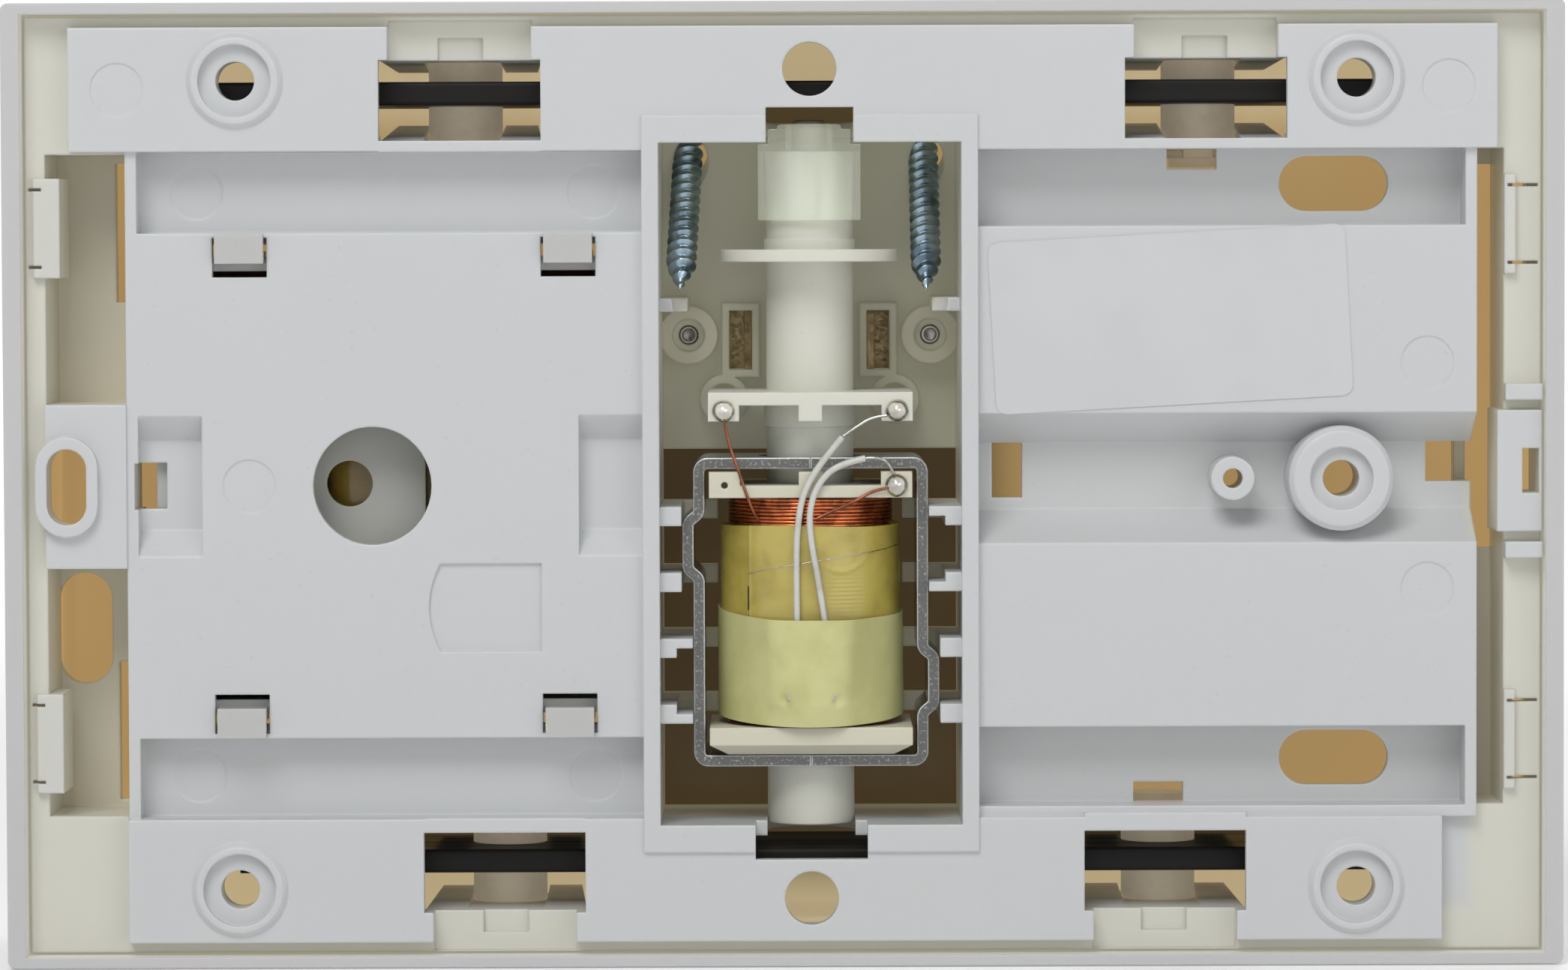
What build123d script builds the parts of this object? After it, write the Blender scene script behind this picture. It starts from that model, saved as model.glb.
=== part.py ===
from build123d import *
import math
import os

# A wall-hung doorbell chime with its own mains transformer.
# Millimetres. The wall plane is y = 0, +Z is up on the wall, and the cover's face looks along -Y.
# A depth is a distance in front of the wall plane, so it is the same as -y.
# The mains side is +X and the bell side is -X.

# Cover
cover_width = 205.0
cover_height = 127.0
cover_depth = 48.0
cover_side_wall = 2.4
cover_end_wall = 1.4
cover_face_wall = 2.2
cover_corner_radius = 1.0
cover_face_radius = 3.5
sound_slot_width = 2.0
sound_slot_length = 14.0
sound_slot_pitch = 5.0
sound_slot_count = 9
sound_slot_setback = 8.0
sound_group_x = 49.2

# Chassis moulding: its wall, its running gap in the cover, and the depth of each back surface
wall = 2.0
thin_wall = 1.5
cover_gap = 0.3
skirt_depth = 11.0
band_depth = 0.8
box_rim_depth = 0.4
panel_depth = 1.6
ledge_depth = 3.4
mains_recess_depth = 6.0
bell_recess_depth = 8.0
valley_depth = 9.0
trench_depth = 17.0
box_floor_depth = 28.0
overrun = 1.0

# Bands along the top and bottom edges
band_height = 16.3
band_edge_inset = 1.5
top_band_end_inset = 6.0
bottom_band_end_inset = 13.2

# Tone bars, on rubber grommets at their still points
bar_thickness = 3.1
bar_breadth = 23.5
bar_back_depth = 6.0
bar_edge_radius = 0.5
upper_bar_inset = 10.15
lower_bar_inset = 11.7
upper_bar_end_inset = 4.48
lower_bar_end_inset = 14.345
bar_x = -6.56
still_point_share = 0.224
grommet_radius = 4.95
grommet_neck_radius = 2.6
grommet_flange_radius = 4.0
grommet_flange = 1.2
grommet_fit = 0.05

# Windows over the grommets, with a pocket on their outer side
window_width = 21.3
window_reach_in = 4.75
window_reach_out = 2.75
cradle_wall = 2.4
cradle_depth = 25.0
cradle_inner_lean = 2.4
cradle_outer_lean = 1.1
cradle_end_lean = 1.25
pocket_width = 18.9
pocket_height = 5.2
pocket_depth = 4.2
pocket_notch_width = 5.9
pocket_notch_height = 2.9

# Bosses and holes in the bands
boss_inset_x = 26.2
boss_inset_z = 8.55
boss_offset_x = -1.7
boss_radius = 6.3
boss_cup_radius = 4.8
boss_cup_depth = 1.3
boss_hole_radius = 2.55
boss_length = 7.0
boss_slope = 0.7
band_hole_radius = 3.55
band_hole_inset = 7.2

# Works box in the middle, and the axis that the plunger runs on
works_x = -3.5
works_depth = 14.0
box_width = 39.8
box_top_inset = 16.8
box_bottom_inset = 16.9
box_rim = 2.2
box_end_rim = 3.6
floor_bottom = 3.8
box_top_set_back = 0.8
top_notch_width = 11.5
bottom_notch_width = 14.8
bottom_notch_depth = 7.0

# Coil former: one moulding of tube, disc flange, terminal flange and collars
tube_radius = 5.8
tube_bore = 4.5
tube_top_gap = 1.1
tube_overhang = 0.7
tube_lip = 3.0
former_collar_radius = 6.1
disc_radius = 11.85
disc_thickness = 1.6
disc_drop = 14.6
flange_back = 2.4
disc_collar = 1.4
terminal_rise = 8.7
terminal_flange_thickness = 1.7
terminal_flange_width = 27.0
terminal_flange_reach = 10.4
terminal_block_width = 4.1
terminal_block_height = 2.1
terminal_block_breadth = 4.0
terminal_tab_width = 3.1
lower_collar = 3.1

# Clear cap over the former's top end
cap_radius = 6.85
cap_wall = 1.0
cap_skirt = 10.1
cap_neck_radius = 5.5
cap_neck_height = 1.0
cap_tip_radius = 4.3
cap_height = 3.7
slip_fit = 0.05

# Plunger, its striker tips and its spring
plunger_radius = 4.4
plunger_length = 40.0
plunger_top = 16.0
plunger_tail = 2.0
plunger_chamfer = 0.4
striker_radius = 2.4
striker_fit = 0.1
striker_up = 2.0
striker_down = 3.6
striker_nose = 0.8
spring_wire = 0.5
spring_radius = 3.6

# Lower bobbin and its coil
bobbin_fit = 0.05
bobbin_wall = 0.9
bobbin_top = 0.2
bobbin_foot_gap = 3.0
bobbin_flange = 1.6
bobbin_foot_flange = 2.3
bobbin_foot_taper = 1.4
bobbin_foot_angle = 60.0
bobbin_width = 26.8
bobbin_reach = 11.6
bobbin_block_height = 1.8
coil_radius = 10.7
coil_wire = 0.45
coil_pitch = 0.87
coil_quarters = 15
coil_seat_gap = 0.03
tape_thickness = 0.25
inner_tape_radius = 11.8
inner_tape_top = 5.6
inner_tape_foot = 8.9
outer_tape_foot = 2.4
outer_tape_height = 15.5
tape_gap = 0.05
fuse_width = 6.4
fuse_height = 8.2
fuse_thickness = 1.4
fuse_foot = 6.1
fuse_radius = 0.4

# Yoke: two steel halves round the bobbin, each with one outward step
yoke_strip = 1.45
yoke_breadth = 18.0
yoke_width = 31.0
yoke_top = 3.4
yoke_foot_gap = 7.4
yoke_bend = 1.9
yoke_seam = 0.12
yoke_step = 1.45
yoke_step_drop = 8.25
right_step_rise = 11.35
step_height = 7.4
step_slope = 1.2
yoke_hole_gap = 0.25
yoke_seat_gap = 0.1
yoke_ledge = 3.0

# Ribs on the box's side walls that hold the yoke
rib_thickness = 2.5
rib_first_z = 4.2
rib_pitch = 8.7
rib_count = 4
rib_back_depth = 1.8
rib_foot_depth = 26.0
rib_tip_share = 0.5

# Bell terminals in the box floor
terminal_boss_x = 16.35
terminal_boss_z = 19.3
terminal_boss_radius = 3.95
terminal_boss_height = 4.0
terminal_ring_radius = 2.2
terminal_screw_radius = 1.3
terminal_screw_head = 2.9
terminal_head_height = 2.2
terminal_slot_x = 9.3
terminal_slot_z = 18.6
terminal_slot_width = 3.1
terminal_slot_height = 8.0
terminal_frame_wall = 1.0
terminal_frame_height = 3.0
terminal_tail = 3.4
ring_boss_x = 11.55
ring_boss_z = 10.6
ring_boss_radius = 3.3
ring_boss_bore = 2.1

# Wall screws, kept in the box behind the cover
wall_screw_length = 31.0
wall_screw_radius = 2.05
wall_screw_head_radius = 3.9
wall_screw_head_height = 2.3
wall_screw_point = 3.5
wall_screw_lean = 44.0
wall_screw_x = 16.0
wall_screw_drop = 19.5
wall_screw_fit = 0.3
wall_screw_tip_radius = 0.25
peg_length = 3.6
peg_height = 1.8
peg_depth = 10.0

# Trench and fixing tongue at the mains end
trench_edge_inset = 2.6
mains_trench_width = 10.7
trench_end_inset = 18.1
trench_slit_width = 2.8
trench_slit_height = 18.6
tongue_half_height = 10.8
tongue_depth = 1.2
tongue_boss_width = 8.2
tongue_boss_height = 13.2
fixing_slot_width = 5.2
fixing_slot_height = 10.0
fixing_slot_inset = 5.5
vent_width = 7.1
vent_height = 14.9
vent_z = 19.6
vent_shift = 1.95

# Cover clips: spring fingers on the chassis
clip_thickness = 2.0
clip_rise = 1.0
clip_height = 13.1
clip_end_gap = 9.7
clip_reach = 13.0
clip_slit = 0.4
clip_slit_spacing = 10.2

# Mains panel, between the trench and the works box
mains_strip_height = 10.6
mains_strip_inset = 17.9
panel_frame = 1.6
clip_window_width = 7.2
clip_window_height = 5.2
clip_window_outer_inset = 13.5
clip_window_inner_inset = 9.7
clip_window_edge = 0.6
cable_hole_radius = 7.8
cable_hole_inset = 30.8
side_pocket_width = 8.4
side_pocket_half_height = 9.3
side_pocket_depth = 4.6
side_pocket_slope = 3.4
side_hole_width = 4.0
side_hole_height = 6.1
plate_recess = 0.4
plate_width = 14.8
plate_height = 11.6
plate_z = 16.1
plate_round = 12.0
plate_inset = 38.2

# Bell side, behind the empty bay
bell_trench_width = 3.7
bell_edge_inset = 4.9
bell_strip_top_inset = 17.8
bell_strip_bottom_inset = 19.2
upper_strip_height = 10.1
lower_strip_height = 10.5
valley_top = 9.3
valley_bottom = 7.9
valley_flank = 4.2
valley_round = 1.6
knockout_width = 14.5
knockout_height = 7.3
knockout_inset = 26.9
upper_knockout_gap = 1.85
lower_knockout_gap = 1.05
small_hole_width = 6.6
small_hole_height = 2.6
upper_small_hole_inset = 37.1
lower_small_hole_inset = 41.6
fixing_boss_radius = 6.9
fixing_boss_cup = 4.15
fixing_boss_inset = 17.9
fixing_boss_z = 0.6
fixing_hole_radius = 2.4
pilot_boss_radius = 2.85
pilot_boss_bore = 1.3
pilot_boss_inset = 32.1
side_notch_height = 7.3
side_notch_width = 6.0
latch_opening_half = 10.9
latch_thickness = 2.1
latch_arm_z = 10.4
latch_tongue_half = 8.0
latch_window_height = 5.9
latch_window_width = 2.2
latch_z = 1.5

# Round ejector marks
mark_radius = 3.5
mark_sink = 0.12
mark_margin = 2.95
mark_far_margin = 4.0
mark_end_inset = 12.4
mark_plateau_inset = 6.5
mark_upper_z = 15.8
mark_lower_z = -14.0
mark_panel_inset = 14.6

# Blank label on the bell plateau
label_width = 47.0
label_height = 22.6
label_thickness = 0.15
label_turn = 3.0
label_inset = 1.8
label_radius = 1.5

# Mains module, clipped to the panel's front
module_margin = 2.0
module_face_gap = 7.8
module_wall = 1.8
module_hook = 1.1
module_catch = 0.5
module_hook_width = 6.4
module_hook_thickness = 1.6
module_fit = 0.2
module_rib = 2.0
guide_plate_depth = 9.0
guide_plate_thickness = 1.5
guide_plate_half_height = 11.0
guide_plate_reach = 6.6
guide_hole_radius = 3.05
guide_hole_offset = 3.5
guide_rim = 2.0
block_width = 9.0
block_end_gap = 8.3
block_length = 12.0
block_pitch = 10.0
block_entry_radius = 1.9
block_screw_radius = 1.5
block_screw_well = 2.0
block_screw_sink = 2.0
block_screw_length = 4.0
block_insert_wall = 0.8
core_back_depth = 17.0
core_block_gap = 2.53
limbs_wide = 6
limbs_high = 5
core_gap = 0.2
core_inset = 3.0
core_stand_off = 5.2
former_wall = 1.0
former_flange = 1.0
winding_build = 4.4
winding_margin = 0.3

# Held leads: diameters in millimetres
sleeve_diameter = 0.86
wire_diameter = 0.42
lead_gap = 0.06
pin_diameter = 0.9
pin_reach = 1.1
pin_height_share = 0.333
solder_radius = 1.45
solder_height = 1.5

# Routes of the leads. Each point is its x, what it lies over, how much further front it is, and its z.
lead_bend_share = 0.45
lead_routes = [
    (
        "sleeved_lead_a",
        sleeve_diameter,
        [
            (-7.7, "flange", 0.0, 6.2),
            (-4.9, "flange", -0.1, 2.9),
            (-2.75, "flange", 0.0, -0.6),
            (-1.9, "tape", 0.0, -4.0),
            (-1.5, "tape", 0.0, -10.0),
            (-1.7, "fuse", 0.0, -20.14),
        ],
    ),
    (
        "sleeved_lead_b",
        sleeve_diameter,
        [
            (-10.7, "flange", 0.0, 3.4),
            (-7.2, "flange", -0.1, 2.7),
            (-4.6, "flange", 0.0, 0.3),
            (-3.3, "tape", 0.1, -3.2),
            (-3.5, "tape", 0.0, -7.6),
            (-4.6, "tape", 0.0, -13.0),
            (-5.6, "fuse", 0.0, -20.14),
        ],
    ),
    (
        "fuse_wire_a",
        wire_diameter,
        [
            (-7.8, "flange", -0.2, 6.3),
            (-9.6, "flange", -0.2, 7.6),
            (-11.8, "flange", -0.2, 8.9),
            (-13.59, "bead", 0.0, 9.02),
        ],
    ),
    (
        "fuse_wire_b",
        wire_diameter,
        [
            (-10.8, "flange", -0.2, 3.42),
            (-12.4, "flange", -0.2, 3.5),
            (-13.8, "flange", -0.2, 2.9),
            (-14.47, "bead", 0.0, 1.33),
        ],
    ),
    (
        "coil_lead_start",
        wire_diameter,
        [
            (7.8, "bead", 0.0, 8.19),
            (7.3, "flange", 0.0, 5.4),
            (5.9, "flange", -0.05, 1.6),
            (5.0, "flange", -0.05, -1.2),
            (4.2, "flange", 0.1, -3.3),
            (3.4, "flange", 1.6, -4.9),
        ],
    ),
    (
        "coil_lead_end",
        wire_diameter,
        [
            (-13.41, "bead", 0.0, -0.59),
            (-11.8, "flange", 0.0, -0.8),
            (-9.4, "flange", 0.0, -2.3),
            (-5.6, "coil", 0.05, -3.9),
            (-4.2, "coil", 0.0, -4.6),
        ],
    ),
]

# Worked out from the sizes above
half_width = cover_width / 2 - cover_side_wall - cover_gap
half_height = cover_height / 2 - cover_end_wall - cover_gap
bar_z = {"upper": half_height - upper_bar_inset, "lower": lower_bar_inset - half_height}
bar_end_inset = {"upper": upper_bar_end_inset, "lower": lower_bar_end_inset}
bar_length = {level: 2 * (half_width + bar_x - inset) for level, inset in bar_end_inset.items()}
bar_span = {level: length * (1 - 2 * still_point_share) for level, length in bar_length.items()}
out = {"upper": 1, "lower": -1}
post_depth = bar_back_depth + bar_breadth / 2
box_mains = works_x + box_width / 2
box_bell = works_x - box_width / 2
panel_inner = box_mains + box_rim
panel_outer = half_width - trench_edge_inset - mains_trench_width - thin_wall
bell_inner = box_bell - box_rim
bell_outer = -(half_width - bell_edge_inset - bell_trench_width)
strip_floor = mains_recess_depth + wall
box_top = half_height - box_top_inset
box_bottom = half_height - box_bottom_inset
tube_top = box_top - tube_top_gap
tube_bottom = box_bottom + tube_overhang
disc_z = tube_top - disc_drop
terminal_z = yoke_top + terminal_rise
cap_top = tube_top + cap_height
yoke_bottom = box_bottom - yoke_foot_gap
bobbin_bottom = yoke_bottom - bobbin_foot_gap
fuse_bottom = bobbin_bottom - fuse_foot
left_step_z = -yoke_step_drop
right_step_z = right_step_rise - yoke_bottom
wall_screw_tip_z = box_top - wall_screw_drop
trench_top = half_height - trench_end_inset
clip_z = trench_top - clip_end_gap
mains_strip_top = half_height - mains_strip_inset
panel_half_height = mains_strip_top - mains_strip_height
bell_strip_top = half_height - bell_strip_top_inset
bell_strip_bottom = half_height - bell_strip_bottom_inset
plateau_top = bell_strip_top - upper_strip_height
plateau_bottom = bell_strip_bottom - lower_strip_height
module_front_depth = cover_depth - cover_face_wall - module_face_gap
parts = {}


def slab(x0, x1, d0, d1, z0, z1):
    """A box between two x's, two depths and two z's."""
    middle = Pos((x0 + x1) / 2, -(d0 + d1) / 2, (z0 + z1) / 2)
    return middle * Box(abs(x1 - x0), abs(d1 - d0), abs(z1 - z0))


def bore(radius, x, z, d0, d1):
    """A cylinder square to the wall, between two depths."""
    return Pos(x, -(d0 + d1) / 2, z) * Rot(90, 0, 0) * Cylinder(radius, abs(d1 - d0))


def upright(radius, z0, z1, x=works_x, depth=works_depth):
    """A cylinder along Z, on the plunger's axis unless told otherwise."""
    return Pos(x, -depth, (z0 + z1) / 2) * Cylinder(radius, abs(z1 - z0))


def tube(outer, inner, z0, z1, x=works_x, depth=works_depth):
    """A hollow upright cylinder."""
    return upright(outer, z0, z1, x, depth) - upright(inner, z0 - overrun, z1 + overrun, x, depth)


def lying_slot(width, height, x, z, d0, d1):
    """An obround square to the wall, between two depths, its long way along its longer size."""
    face = SlotOverall(width, height) if width > height else SlotOverall(height, width, rotation=90)
    turned = Plane(origin=(x, -d0, z), x_dir=(-1, 0, 0), z_dir=(0, -1, 0)) * face
    return extrude(turned, amount=d1 - d0, dir=(0, -1, 0))


def tray(x0, x1, z0, z1, depth, top):
    """A recess of the moulding: the walled block that holds it, and the space to cut from it."""
    low_x, high_x = min(x0, x1), max(x0, x1)
    low_z, high_z = min(z0, z1), max(z0, z1)
    edge = thin_wall
    outer = slab(low_x - edge, high_x + edge, top, depth + wall, low_z - edge, high_z + edge)
    return outer, slab(low_x, high_x, -overrun, depth, low_z, high_z)


def keep(name, shape):
    """Store a finished piece under its node's name."""
    parts[name] = shape


def support_x(level, side):
    """Where a tone bar is held: its grommet's centre along X."""
    return bar_x + side * bar_span[level] / 2


def supports():
    """Each grommet's level and centre."""
    return [(level, support_x(level, side)) for level in ("upper", "lower") for side in (1, -1)]


def window_z(level):
    """A window's inner and outer edges, seen from the middle of the part."""
    away = out[level]
    inner = bar_z[level] - (bar_thickness / 2 + window_reach_in) * away
    if level == "lower":
        inner = bar_z[level] - (bar_thickness / 2 + window_reach_out) * away
        return inner, bar_z[level] + (bar_thickness / 2 + window_reach_in) * away
    return inner, bar_z[level] + (bar_thickness / 2 + window_reach_out) * away


# Cover


def cover():
    """The outer cover: a box open to the wall, with sound slots in its top and bottom walls."""
    shell = slab(-cover_width / 2, cover_width / 2, 0, cover_depth, -cover_height / 2, cover_height / 2)
    shell = fillet(shell.edges().filter_by(Axis.Y), cover_corner_radius)
    shell = fillet(shell.faces().sort_by(Axis.Y)[0].edges(), cover_face_radius)
    inner_x = cover_width / 2 - cover_side_wall
    inner_z = cover_height / 2 - cover_end_wall
    hollow = slab(-inner_x, inner_x, -overrun, cover_depth - cover_face_wall, -inner_z, inner_z)
    hollow = fillet(hollow.faces().sort_by(Axis.Y)[0].edges(), cover_face_radius - cover_end_wall)
    shell -= hollow
    slots = []
    slot_far = cover_depth - sound_slot_setback
    for side in (1, -1):
        for index in range(sound_slot_count):
            step = (index - (sound_slot_count - 1) / 2) * sound_slot_pitch
            x = side * sound_group_x + step
            slots.append(
                slab(
                    x - sound_slot_width / 2,
                    x + sound_slot_width / 2,
                    slot_far - sound_slot_length,
                    slot_far,
                    -cover_height / 2 - overrun,
                    cover_height / 2 + overrun,
                )
            )
    keep("cover", shell - slots)


# Chassis


def chassis_plate():
    """The ledge all round, its skirt, the two bands and the raised pads, hollow on their fronts."""
    under = ledge_depth + wall
    plate = slab(-half_width, half_width, ledge_depth, under, -half_height, half_height)
    plate -= slab(panel_inner, panel_outer, 0, under + overrun, -panel_half_height, panel_half_height)
    plate -= slab(bell_outer, bell_inner, 0, under + overrun, -plateau_bottom, plateau_top)
    skirt = slab(-half_width, half_width, ledge_depth, skirt_depth, -half_height, half_height)
    inside_x, inside_z = half_width - thin_wall, half_height - thin_wall
    skirt -= slab(-inside_x, inside_x, -overrun, skirt_depth + overrun, -inside_z, inside_z)
    band_top = half_height - band_edge_inset
    pads = [
        (-half_width + top_band_end_inset, half_width - top_band_end_inset, band_top, 1, band_depth),
        (-half_width + bottom_band_end_inset, half_width - bottom_band_end_inset, band_top, -1, band_depth),
    ]
    solid, hollow = [plate, skirt], []
    for x0, x1, z, side, depth in pads:
        inner = side * (z - band_height)
        solid.append(slab(x0, x1, depth, under, inner, side * z))
        low, high = sorted((inner + side * wall, side * (z - wall)))
        hollow.append(slab(x0 + wall, x1 - wall, depth + wall, under + overrun, low, high))
    return Part() + solid - hollow


def chassis_fields():
    """The trays of the moulding, as blocks to add and spaces to cut."""
    trench_out = half_width - trench_edge_inset
    trench_in = trench_out - mains_trench_width
    bell_out = -half_width + bell_edge_inset
    recess_out = bell_outer + thin_wall
    fields = [
        tray(trench_in, trench_out, tongue_half_height, trench_top, trench_depth, ledge_depth),
        tray(trench_in, trench_out, -trench_top, -tongue_half_height, trench_depth, ledge_depth),
        tray(bell_out, bell_outer, -bell_strip_bottom, bell_strip_top, trench_depth, ledge_depth),
        tray(panel_inner, panel_outer, panel_half_height, mains_strip_top, mains_recess_depth, panel_depth),
        tray(panel_inner, panel_outer, -mains_strip_top, -panel_half_height, mains_recess_depth, panel_depth),
        tray(recess_out, bell_inner, plateau_top, bell_strip_top, bell_recess_depth, panel_depth),
        tray(recess_out, bell_inner, -bell_strip_bottom, -plateau_bottom, bell_recess_depth, panel_depth),
    ]
    return fields


def sloped_pocket(x0, x1):
    """The space of a side pocket, whose two ends slope in towards its floor."""
    top, low = side_pocket_half_height, side_pocket_half_height - side_pocket_slope
    profile = Polyline(
        (overrun, top),
        (-panel_depth, top),
        (-side_pocket_depth, low),
        (-side_pocket_depth, -low),
        (-panel_depth, -top),
        (overrun, -top),
        close=True,
    )
    space = extrude(Plane.YZ * make_face(profile), amount=abs(x1 - x0) / 2, both=True)
    return Pos((x0 + x1) / 2, 0, 0) * space


def mains_panel():
    """The flat panel that the mains module clips to, its frame rib and its two side pockets."""
    base = panel_depth + wall
    panel = slab(panel_inner, panel_outer, panel_depth, base, -panel_half_height, panel_half_height)
    rib_x = panel_outer + panel_frame
    rib = slab(panel_outer, rib_x, panel_depth, skirt_depth, -mains_strip_top, mains_strip_top)
    pocket_floor = side_pocket_depth + thin_wall
    height = side_pocket_half_height
    around = height + wall
    adds, cuts = [panel, rib], []
    for inner, outer in (
        (panel_outer - side_pocket_width, panel_outer),
        (panel_inner, panel_inner + side_pocket_width),
    ):
        adds.append(slab(inner - thin_wall, outer, panel_depth, pocket_floor, -around, around))
        if inner == panel_inner:
            adds.append(slab(inner, outer + thin_wall, panel_depth, pocket_floor, -around, around))
        cuts.append(sloped_pocket(inner, outer))
    hole_out = panel_outer + overrun / 2
    hole_in, half = hole_out - side_hole_width, side_hole_height / 2
    cuts.append(slab(hole_in, hole_out, -overrun, base + skirt_depth, -half, half))
    cable_x = panel_outer - cable_hole_inset
    cuts.append(bore(cable_hole_radius, cable_x, 0, -overrun, base + overrun))
    plate_x = panel_outer - plate_inset
    field = slab(
        plate_x - plate_width,
        plate_x,
        -overrun,
        panel_depth + plate_recess,
        -plate_z - plate_height / 2,
        -plate_z + plate_height / 2,
    )
    bulge = bore(plate_round, plate_x - plate_round, -plate_z, -overrun * 2, panel_depth + plate_recess)
    cuts.append(field & bulge)
    half_w, half_h = clip_window_width / 2, clip_window_height / 2
    for x, z in module_windows():
        cuts.append(slab(x - half_w, x + half_w, -overrun, base + overrun, z - half_h, z + half_h))
    return adds, cuts


def module_windows():
    """Centres of the four panel windows that the mains module's hooks come through."""
    z = panel_half_height - clip_window_edge - clip_window_height / 2
    outer = panel_outer - clip_window_outer_inset
    inner = panel_inner + clip_window_inner_inset
    return [(x, side * z) for x in (outer, inner) for side in (1, -1)]


def bell_side():
    """The two plateaus and the valley between them, behind the empty bay."""
    under = panel_depth + wall
    inner, outer = bell_inner, bell_outer
    adds = [slab(outer, inner, panel_depth, under, -plateau_bottom, plateau_top)]

    def channel(grow):
        floor_top = valley_top - valley_flank + grow
        floor_low = -valley_bottom + valley_flank - grow
        section = Plane.YZ * make_face(
            Polyline(
                (overrun, valley_top + grow + valley_round),
                (-panel_depth, valley_top + grow),
                (-valley_depth - grow, floor_top),
                (-valley_depth - grow, floor_low),
                (-panel_depth, -valley_bottom - grow),
                (overrun, -valley_bottom - grow - valley_round),
                close=True,
            )
        )
        return Pos((inner + outer) / 2, 0, 0) * extrude(section, amount=(inner - outer) / 2, both=True)

    low, high = -valley_bottom - wall, valley_top + wall
    adds.append(channel(thin_wall) & slab(outer, inner, panel_depth, valley_depth + wall, low, high))
    cuts = [channel(0)]
    knockout_x = -half_width + knockout_inset
    through = strip_floor * 2
    upper_z = plateau_top + upper_knockout_gap + knockout_height / 2
    lower_z = -plateau_bottom - lower_knockout_gap - knockout_height / 2
    for z in (upper_z, lower_z):
        cuts.append(lying_slot(knockout_width, knockout_height, knockout_x, z, -overrun, through))
    for inset, z_edge, side in (
        (upper_small_hole_inset, bell_strip_top, 1),
        (lower_small_hole_inset, bell_strip_bottom, -1),
    ):
        x = bell_outer + inset
        half = small_hole_width / 2
        low, high = sorted((side * z_edge, side * (z_edge - small_hole_height)))
        cuts.append(slab(x - half, x + half, -overrun, through, low, high))
    low, high = latch_z - side_notch_height / 2, latch_z + side_notch_height / 2
    cuts.append(slab(inner - side_notch_width, inner - clip_thickness, -overrun, through, low, high))
    cuts.append(slab(outer, outer + side_notch_width, -overrun, through, low + wall, high))
    return adds, cuts


def works_box():
    """The deep box round the coil: its walls, its part floor, its end notches and its rim."""
    x0, x1 = box_bell, box_mains
    deep = box_floor_depth + wall
    rim_low, rim_high = -box_bottom - box_end_rim, box_top + box_end_rim
    outer = slab(x0 - box_rim, x1 + box_rim, box_rim_depth, band_depth + wall, rim_low, rim_high)
    wall_z = box_top + box_top_set_back
    walls = slab(x0 - wall, x1 + wall, box_rim_depth, deep, -box_bottom - wall, wall_z + wall)
    inner = slab(x0, x1, -overrun, deep + overrun, -box_bottom, box_top)
    inner += slab(x0, x1, band_depth + wall, deep + overrun, box_top - overrun, wall_z)
    floor = slab(x0, x1, box_floor_depth, deep, floor_bottom, wall_z)
    top_cut = Part() + [
        slab(
            works_x - top_notch_width / 2,
            works_x + top_notch_width / 2,
            -overrun,
            works_depth,
            box_top - overrun,
            box_top + box_end_rim + overrun,
        ),
        upright(top_notch_width / 2, box_top - overrun, box_top + box_end_rim + overrun),
    ]
    bottom_cut = Part() + [
        slab(
            works_x - bottom_notch_width / 2,
            works_x + bottom_notch_width / 2,
            -overrun,
            bottom_notch_depth,
            -box_bottom - box_end_rim - overrun,
            -box_bottom + overrun,
        ),
        slab(
            works_x - tube_radius - slip_fit,
            works_x + tube_radius + slip_fit,
            -overrun,
            works_depth,
            -box_bottom - box_end_rim - overrun,
            -box_bottom + overrun,
        ),
        upright(tube_radius + slip_fit, -box_bottom - box_end_rim - overrun, -box_bottom + overrun),
    ]
    return [outer, walls], [inner, top_cut, bottom_cut], [floor]


def cradle_walls(x, inner, outer, away):
    """The two walls of a cradle: they lean towards the bar and grow narrower with depth."""
    half = window_width / 2
    far_half = half - cradle_end_lean
    start = ledge_depth + wall
    plan = Polyline(
        (x - half, -band_depth),
        (x + half, -band_depth),
        (x + half, -start),
        (x + far_half, -cradle_depth),
        (x - far_half, -cradle_depth),
        (x - half, -start),
        close=True,
    )
    walls = []
    for z, lean, side in ((inner, cradle_inner_lean, -away), (outer, cradle_outer_lean, away)):
        back, tip = z + side * cradle_wall, z - side * lean
        section = Polyline(
            (-band_depth, z),
            (-start, z),
            (-cradle_depth, tip),
            (-cradle_depth, back),
            (-band_depth, back),
            close=True,
        )
        along = extrude(Plane.YZ * make_face(section), amount=half, both=True)
        middle, reach = (back + tip) / 2, abs(back - tip) / 2
        upwards = extrude(make_face(plan), amount=reach, both=True)
        walls.append((Pos(x, 0, 0) * along) & (Pos(0, 0, middle) * upwards))
    return walls


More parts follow.
